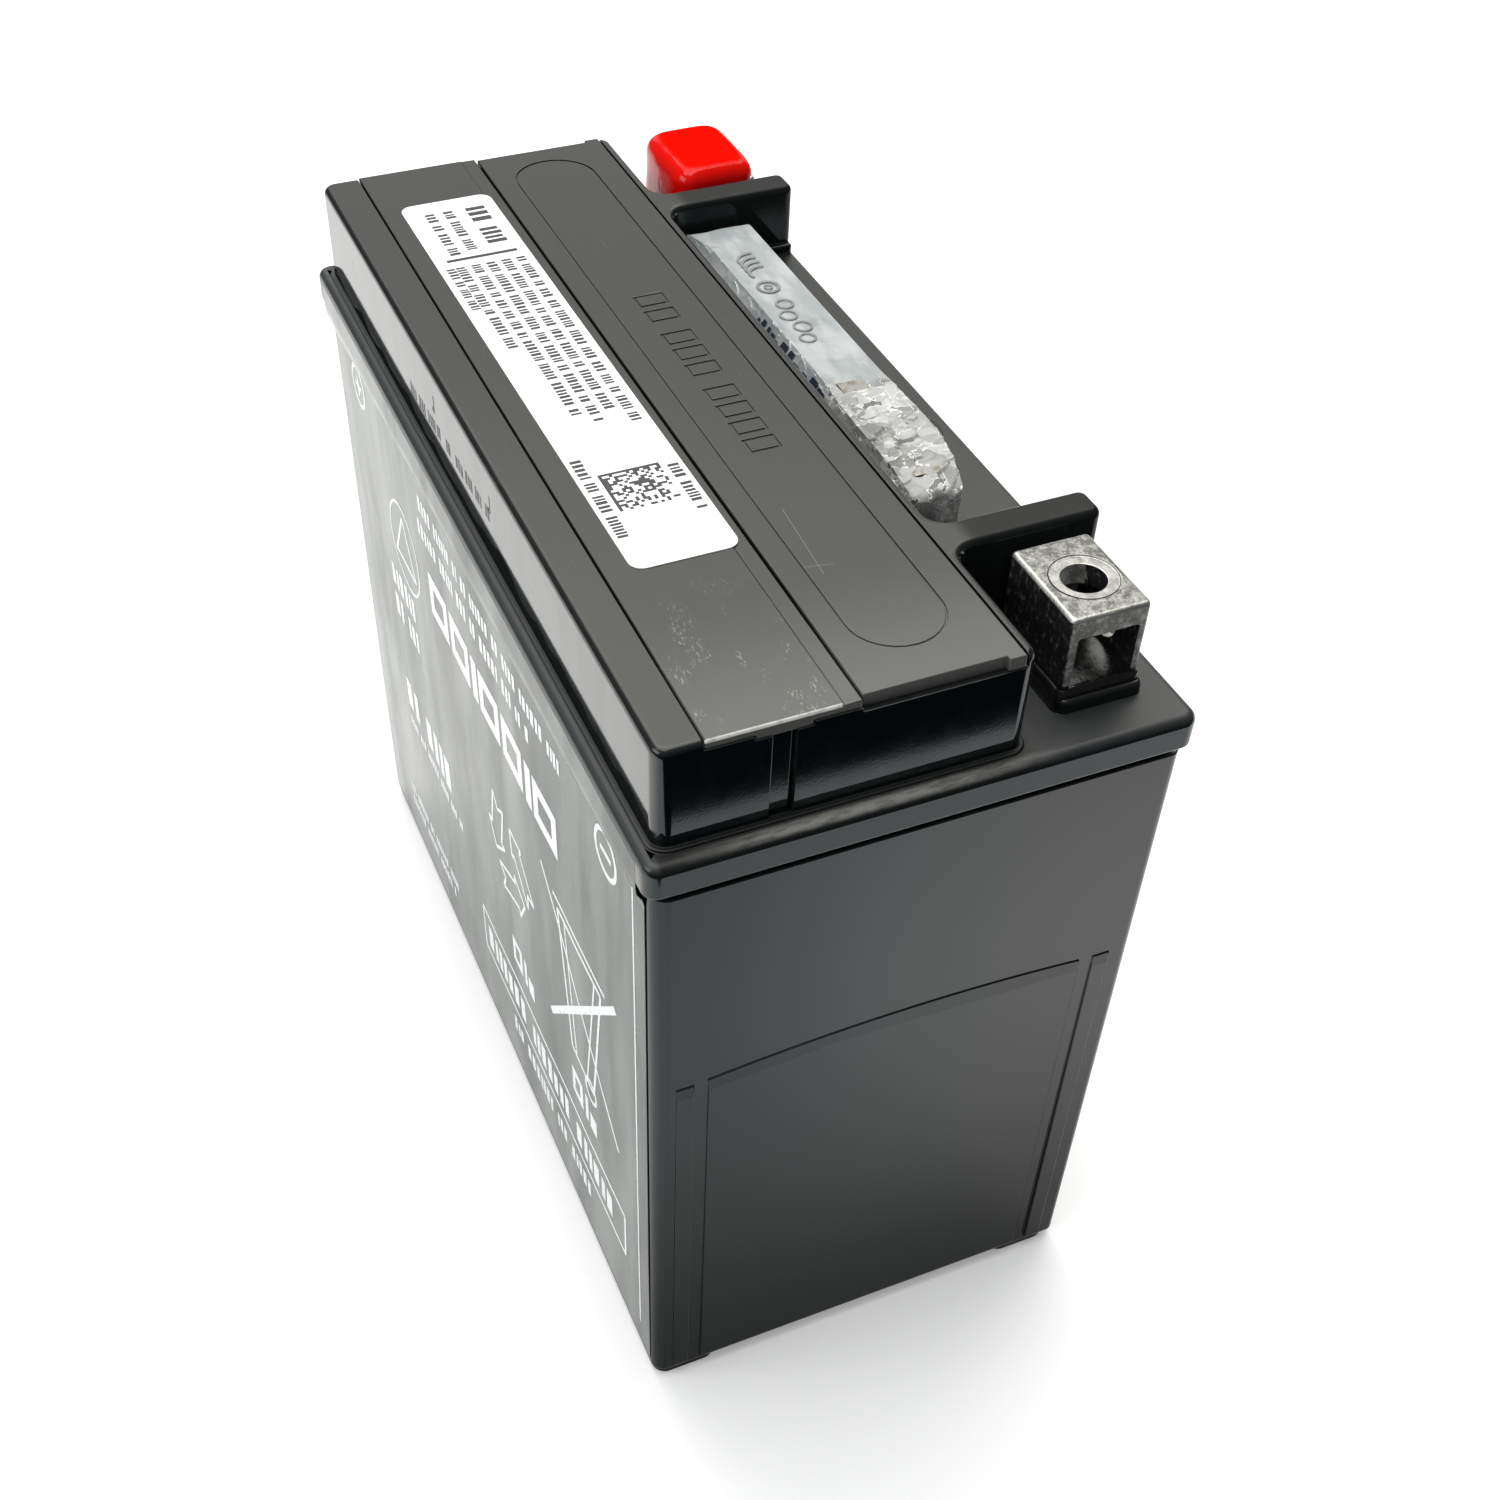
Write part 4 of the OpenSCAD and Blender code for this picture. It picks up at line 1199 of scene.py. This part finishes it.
def film_y(x, z):
    """Outer face of the film: it steps out over the skirt and sinks a little between the partitions."""
    skirt = -HALF_WIDTH
    wall = case_lean(z) - CASE_SIDE - 0.14
    over = min(CASE_CORNER, max(0.0, abs(x) - CASE_HALF + CASE_CORNER))
    wall += CASE_CORNER - math.sqrt(CASE_CORNER ** 2 - over * over)
    share = max(0.0, min(1.0, (z - FILM_BEND + FILM_BLEND) / FILM_BLEND))
    y = wall + (skirt - wall) * share * share * (3 - 2 * share)
    sink = 0.5 - 0.5 * math.cos(2 * math.pi * (x / CELL_PITCH + 0.5))
    fade = max(0.0, min(1.0, (z - 6) / 30)) * (1 - share)
    ripple = 0.5 * noise.noise(Vector((x / 9, 0.0, z / 60)))
    return y - fade * (0.10 * sink + 0.10 * ripple)


def make_film():
    columns, rows = 220, 100
    x0, x1 = film_low.x, film_high.x
    z0, z1 = film_low.z, film_high.z
    mesh = bmesh.new()
    grid = []
    for row in range(rows + 1):
        z = z0 + (z1 - z0) * row / rows
        grid.append([mesh.verts.new((x0 + (x1 - x0) * column / columns,
                                     film_y(x0 + (x1 - x0) * column / columns, z) + 0.1, z))
                     for column in range(columns + 1)])
    for row in range(rows):
        for column in range(columns):
            mesh.faces.new((grid[row][column], grid[row][column + 1], grid[row + 1][column + 1],
                            grid[row + 1][column]))
    film = link_mesh("front_film", mesh)
    outward = film.data.polygons[0].normal.y < 0
    solid = film.modifiers.new("thick", "SOLIDIFY")
    solid.thickness = 0.1
    solid.offset = 1 if outward else -1
    bake_modifiers(film)
    film.data.shade_smooth()
    film.data.set_sharp_from_angle(angle=math.radians(40))
    finish_piece(film, "label_film", "label_film", "battery", "front_label")


class Print:
    """Thin raised ink on a surface: place(u, v, lift) gives the point above the surface at (u, v)."""

    foot = 0.004

    def __init__(self, place, thickness, cell):
        self.mesh = bmesh.new()
        self.place = place
        self.thickness = thickness
        self.cell = cell

    def bar(self, u, v, width, height, slant=0.0):
        """A bar from its lower left corner; slant moves its top sideways."""
        steps = max(1, int(width / self.cell))
        rises = max(1, int(height / self.cell))
        levels = []
        for lift in (self.foot, self.thickness):
            level = []
            for j in range(rises + 1):
                level.append([self.mesh.verts.new(self.place(
                    u + width * i / steps + slant * j / rises, v + height * j / rises, lift))
                    for i in range(steps + 1)])
            levels.append(level)
        low, high = levels
        for j in range(rises):
            for i in range(steps):
                self.mesh.faces.new((high[j][i], high[j][i + 1], high[j + 1][i + 1], high[j + 1][i]))
                self.mesh.faces.new((low[j][i], low[j + 1][i], low[j + 1][i + 1], low[j][i + 1]))
        edge = [(0, i) for i in range(steps)] + [(j, steps) for j in range(rises)]
        edge += [(rises, i) for i in range(steps, 0, -1)] + [(j, 0) for j in range(rises, 0, -1)]
        for here, after in zip(edge, edge[1:] + edge[:1]):
            self.mesh.faces.new((low[here[0]][here[1]], low[after[0]][after[1]],
                                 high[after[0]][after[1]], high[here[0]][here[1]]))

    def line(self, start, end, width):
        """A straight stroke between two points."""
        u0, v0 = start
        u1, v1 = end
        length = math.hypot(u1 - u0, v1 - v0)
        nu, nv = -(v1 - v0) / length * width / 2, (u1 - u0) / length * width / 2
        steps = max(1, int(length / self.cell))
        section = ((-1, self.foot), (1, self.foot), (1, self.thickness), (-1, self.thickness))
        rings = []
        for i in range(steps + 1):
            u, v = u0 + (u1 - u0) * i / steps, v0 + (v1 - v0) * i / steps
            rings.append([self.place(u + side * nu, v + side * nv, lift) for side, lift in section])
        add_rings(self.mesh, rings)

    def path(self, points, width, closed=True):
        ends = points[1:] + points[:1] if closed else points[1:]
        for start, end in zip(points, ends):
            self.line(start, end, width)

    def ring(self, u, v, radius, width, steps=28):
        self.path([(u + radius * c, v + radius * s) for c, s in circle(steps)], width)

    def dashes(self, rng, u, v, length, height, slant=0.0):
        """A row of short bars standing where a line of small print would be."""
        end = u + length
        while u < end:
            for _ in range(rng.randint(2, 7)):
                width = height * rng.uniform(0.34, 0.62)
                if u + width > end:
                    break
                tall = height * rng.choice((1.0, 1.0, 0.92))
                self.bar(u, v, width * 0.72, tall, slant * tall)
                u += width * 1.12
            u += height * 0.55

    def done(self, name):
        return link_mesh(name, self.mesh)


def print_frame(art, u, v, width, height, stroke):
    """An open upright frame made of four bars."""
    art.bar(u, v, stroke, height)
    art.bar(u + width - stroke, v, stroke, height)
    art.bar(u + stroke, v, width - 2 * stroke, stroke)
    art.bar(u + stroke, v + height - stroke, width - 2 * stroke, stroke)


def make_front_print():
    """Plain bars, frames and outlines in place of the printed side's words and symbols."""
    def on_film(u, v, lift):
        return (u, film_y(u, v) - lift, v)

    rng = random.Random(7)
    art = Print(on_film, 0.04, 1.6)
    u = -26.0
    for width in (12.5, 13.0, 4.0, 12.5, 12.5, 4.0, 13.0):
        if width < 5:
            art.bar(u, 97.6, width - 1.0, 9.4)
        else:
            print_frame(art, u, 97.6, width - 1.6, 9.4, 2.5)
        u += width
    rows = ((-28, 119.4, 76, 3.2), (-30, 113.2, 63, 3.4), (-57, 83.0, 17, 5.4), (-57, 75.0, 17, 5.4),
            (-57, 50.0, 33, 8.2), (-57, 44.6, 38, 2.4), (-6.5, 24.4, 75, 6.2), (8, 14.2, 46, 4.0),
            (-66, 16.6, 38, 2.6), (-66, 12.2, 34, 2.6))
    for row in rows:
        art.dashes(rng, *row)
    for centre in (67.6, -67.6):
        art.ring(centre, 121.8, 4.2, 0.95)
        art.bar(centre - 2.2, 121.3, 4.4, 1.0)
    art.bar(-68.1, 119.6, 1.0, 4.4)
    art.ring(-43.5, 100, 9.4, 0.6, 40)
    art.path([(-50, 96), (-43.5, 107), (-37, 96)], 0.8)
    for k in range(3):
        turn = 2 * math.pi * k / 3 + 0.5
        middle_u, middle_v = 14.5 + 8.0 * math.cos(turn), 69.5 + 7.4 * math.sin(turn)
        c, sn = math.cos(turn + 1.9), math.sin(turn + 1.9)
        arrow = [(-6.6, -2.7), (3.4, -2.7), (3.4, -4.4), (8.2, 0), (3.4, 4.4), (3.4, 2.7),
                 (-6.6, 2.7), (-4.2, 0)]
        art.path([(middle_u + a * c - b * sn, middle_v + a * sn + b * c) for a, b in arrow], 0.75)
    art.path([(42, 84.4), (63, 84.4), (57.6, 52.0), (46.6, 53.0)], 0.8)
    strokes = (((45.4, 84), (49, 53), 0.6), ((60, 84), (54.4, 53), 0.6), ((40, 86.6), (65, 86.6), 0.7),
               ((34.4, 88.8), (69.5, 50.3), 0.8), ((35, 50), (69.7, 88.6), 1.5))
    for stroke in strokes:
        art.line(*stroke)
    art.ring(56, 51, 2.6, 0.8, 18)
    for u in (11.5, 45.6):
        print_frame(art, u, 39.6, 5.6, 6.8, 1.5)
        art.bar(u + 7.0, 39.6, 1.5, 6.8)
        art.bar(u + 9.4, 39.6, 3.2, 4.4)
    art.path([(-9.5, 21.6), (71.6, 21.6), (71.6, 33.6), (-9.5, 33.6)], 0.75)
    art.line((78.7, 10), (78.7, 129), 0.5)
    finish_piece(art.done("front_print"), "white_ink", "label_film", "battery")


PAPER_LENGTH = 116.6
PAPER_WIDTH = 17.0
PAPER_TURN = math.radians(0.34)


def on_paper(u, v, lift):
    """A point above the paper label, u along it and v across it from its middle."""
    middle_x, middle_y = (paper_low.x + paper_high.x) / 2, (paper_low.y + paper_high.y) / 2
    c, s = math.cos(PAPER_TURN), math.sin(PAPER_TURN)
    return (middle_x + u * c - v * s, middle_y + u * s + v * c, paper_high.z + lift)


def make_paper():
    corners = rectangle(-PAPER_LENGTH / 2, PAPER_LENGTH / 2, -PAPER_WIDTH / 2, PAPER_WIDTH / 2, 2.2)
    thick = paper_high.z - paper_low.z
    rings = []
    for lift, inset in ((0.01 - thick, 0.0), (-0.03, 0.0), (0.0, 0.03)):
        rings.append([on_paper(x, y, lift) for x, y in inset_outline(corners, inset)])
    paper = ring_solid("top_paper", rings)
    shade(paper, 30)
    finish_piece(paper, "label_paper", "label_paper", "battery", "top_label")


def make_paper_print():
    """Rows of plain dashes, rules and a dotted square where the label's words and code would stand."""
    rng = random.Random(21)
    art = Print(on_paper, 0.02, 4.0)
    art.line((-36.2, -6.3), (-36.2, 6.6), 0.9)
    rows = [(-54, 2.6, 15.5, 3.6), (-54, -1.6, 15.5, 1.9), (-54, -5.0, 16.5, 1.9)]
    rows += [(-33.5, 5.4 - 2.75 * row, length, 1.75) for row, length in enumerate((57, 52, 55, 53, 29))]
    rows += [(-33.5, -7.3, 15, 1.6), (35.5, 5.9, 13, 1.8), (29.5, -7.7, 22, 1.8)]
    for row in rows:
        art.dashes(rng, *row)
    dot = 0.55
    for i in range(18):
        for j in range(18):
            if i == 0 or j == 0 or rng.random() < 0.5:
                art.bar(34.4 + i * dot, -5.0 + j * dot, dot, dot)
    finish_piece(art.done("top_print"), "black_ink", "label_paper", "battery")


def make_stamp():
    """A date stamp on the deck's front wall, kept to plain strokes."""
    def on_wall(u, v, lift):
        return (u, DECK_FRONT - lift, v)

    rng = random.Random(5)
    art = Print(on_wall, 0.02, 2.0)
    u = -29.0
    while u < 15.0:
        art.dashes(rng, u, 142.6 + (u + 29.0) * 0.05, 4.6, 2.4)
        u += 5.2
    for u, v in ((-14.4, 147.2), (14.9, 146.6)):
        art.bar(u, v, 0.5, 3.2)
        art.bar(u - 0.9, v, 0.9, 0.7)
    finish_piece(art.done("deck_stamp"), "black_ink", "lid_plastic", "battery")


def make_bag_print():
    """Grey strokes on the packet's upper side and dark ones on its front slope, in place of its printing."""
    def on_top(u, v, lift):
        return (u, v, BAG_FLAT_TOP + 0.10 + 0.16 * noise.noise(Vector((u / 9, v / 6, 0.0))) + lift)

    def on_slope(u, v, lift):
        corners, _ = bag_section(u, bag_low.x, bag_high.x)
        spot = Vector(corners[2]).lerp(Vector(corners[3]), v)
        return (u, spot.x - 0.2 - lift, spot.y + 0.15 + lift)

    art = Print(on_top, 0.03, 0.8)
    for index in range(4):
        points = []
        for step in range(8):
            turn = math.radians(-200 + 20 * step)
            points.append((-36.5 + 1.7 * index + 2.2 * math.cos(turn), 25.6 + 2.6 * math.sin(turn)))
        art.path(points, 0.55, False)
    art.ring(-26.4, 24.3, 1.9, 0.6, 14)
    art.ring(-26.4, 24.3, 0.7, 0.4, 10)
    for u, v, radius in ((-20, 24.6, 1.5), (-16.2, 23.6, 1.5), (-12.0, 24.4, 1.6), (-8.2, 23.6, 1.4)):
        art.ring(u, v, radius, 0.4, 12)
    finish_piece(art.done("packet_print"), "grey_ink", "bag_film", "hardware_packet")
    rng = random.Random(3)
    dark = Print(on_slope, 0.03, 0.8)
    u = -19.0
    while u < 8:
        width = rng.uniform(0.5, 1.5) if u < -10 else rng.uniform(1.2, 2.6)
        dark.bar(u, 0.12 + 0.2 * rng.random(), width, 0.30 + 0.2 * rng.random(), -0.4)
        u += width + rng.uniform(0.4, 1.3)
    finish_piece(dark.done("packet_print_dark"), "blue_ink", "bag_film", "hardware_packet")


# ---- inner pieces keep their CAD shape ----

INNER_LOOKS = {
    "cap_plug_seals": "seal_rubber",
    "relief_valve": "seal_rubber",
    "flame_arrestors": "porous_plastic",
    "positive_post_seal": "post_sealant",
    "negative_post_seal": "post_sealant",
    "positive_plates": "positive_paste",
    "negative_plates": "negative_lead",
    "separators": "glass_mat",
    "intercell_weld": "negative_lead",
}


def dress_inner_pieces():
    for name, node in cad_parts.items():
        for start, finish in INNER_LOOKS.items():
            if name.startswith(start):
                node.data.materials.clear()
                node.data.materials.append(LOOKS[finish].material)


# ---- studio ----

def make_floor():
    mesh = bmesh.new()
    reach = 4.0
    height = cad_box[0].z - 0.0002
    ring = [mesh.verts.new((x * reach, y * reach, height)) for x, y in ((-1, -1), (1, -1), (1, 1), (-1, 1))]
    mesh.faces.new(ring)
    floor = link_mesh("floor", mesh)
    look_floor = Look("floor_paper", (0.93, 0.93, 0.93), 0.7, Specular_IOR_Level=0.2,
                      Emission_Color=(1, 1, 1, 1), Emission_Strength=0.22)
    look_floor.bump(look_floor.cloud(3, 3.0), 0.02, 0.3)
    floor.data.materials.append(look_floor.material)


def area_light(name, place, aim, width, height, power, colour=(1, 1, 1)):
    light = bpy.data.lights.new(name, "AREA")
    light.shape = "RECTANGLE"
    light.size = width
    light.size_y = height
    light.energy = power
    light.color = colour
    lamp = bpy.data.objects.new(name, light)
    lamp.location = place
    lamp.rotation_euler = (Vector(aim) - Vector(place)).to_track_quat("-Z", "Y").to_euler()
    bpy.context.scene.collection.objects.link(lamp)
    return lamp


def make_flag():
    """A black card lying beyond the near end, seen only by reflections, as a studio sets one for gloss."""
    mesh = bmesh.new()
    height = cad_box[0].z + 0.001
    corners = [(FLAG_EDGE, -2.0), (3.0, -2.0), (3.0, 2.0), (FLAG_EDGE, 2.0)]
    mesh.faces.new([mesh.verts.new((x, y, height)) for x, y in corners])
    flag = link_mesh("flag", mesh)
    felt = Look("flag_felt", (0.004, 0.004, 0.004), 0.9, Specular_IOR_Level=0.0)
    flag.data.materials.append(felt.material)
    flag.visible_camera = False
    flag.visible_diffuse = False
    flag.visible_shadow = False


def make_studio():
    world = bpy.data.worlds.new("studio")
    world.use_nodes = True
    world.node_tree.nodes["Background"].inputs["Color"].default_value = (0.90, 0.96, 1.0, 1)
    world.node_tree.nodes["Background"].inputs["Strength"].default_value = 0.10
    bpy.context.scene.world = world
    middle = (cad_box[0] + cad_box[1]) / 2
    area_light("back", (-0.70, 0.31, 1.20), middle, 1.7, 0.9, 14.0, (1.0, 1.0, 0.955))
    area_light("low_back", (-1.30, 0.57, 0.62), middle, 1.9, 0.6, 3.2, (1.0, 1.0, 0.955))
    area_light("front", (0.1, -1.3, 0.9), middle, 1.2, 0.7, 9.0)
    area_light("top", (-0.15, -0.1, 1.5), middle, 1.2, 1.2, 16.0)
    fill = area_light("fill", (1.1, -0.5, 1.0), middle, 1.2, 1.2, 2.2)
    fill.visible_glossy = False
    bpy.context.scene.view_settings.view_transform = "Standard"


CAMERA_PLACE = Vector((0.2479, -0.1055, 0.3173))
CAMERA_AIM = Vector((0.0331, -0.0125, 0.0847))
CAMERA_ROLL = math.radians(1.26)
CAMERA_LENS = 45.12
CAMERA_SHIFT = (0.0340, 0.0512)


def make_camera():
    data = bpy.data.cameras.new("camera")
    data.sensor_width = 36.0
    data.lens = CAMERA_LENS
    data.shift_x, data.shift_y = CAMERA_SHIFT
    data.clip_start = 0.01
    camera = bpy.data.objects.new("camera", data)
    camera.location = CAMERA_PLACE
    facing = (CAMERA_AIM - CAMERA_PLACE).to_track_quat("-Z", "Y").to_matrix()
    roll = Matrix.Rotation(CAMERA_ROLL, 3, "Z")
    camera.rotation_euler = (facing @ roll).to_euler()
    bpy.context.scene.collection.objects.link(camera)
    bpy.context.scene.camera = camera


make_camera()
make_floor()
make_flag()
make_studio()
make_case()
make_lid()
make_strip()
make_vent_cover()
make_terminal("negative_post", 1, "negative_terminal")
make_terminal("positive_post", -1, "positive_terminal")
make_sealant("negative_foot_sealant", 1)
make_sealant("positive_foot_sealant", -1)
make_red_cap()
make_bag()
make_bag_print()
make_bolts()
make_nuts()
make_film()
make_front_print()
make_paper()
make_paper_print()
make_stamp()
dress_inner_pieces()
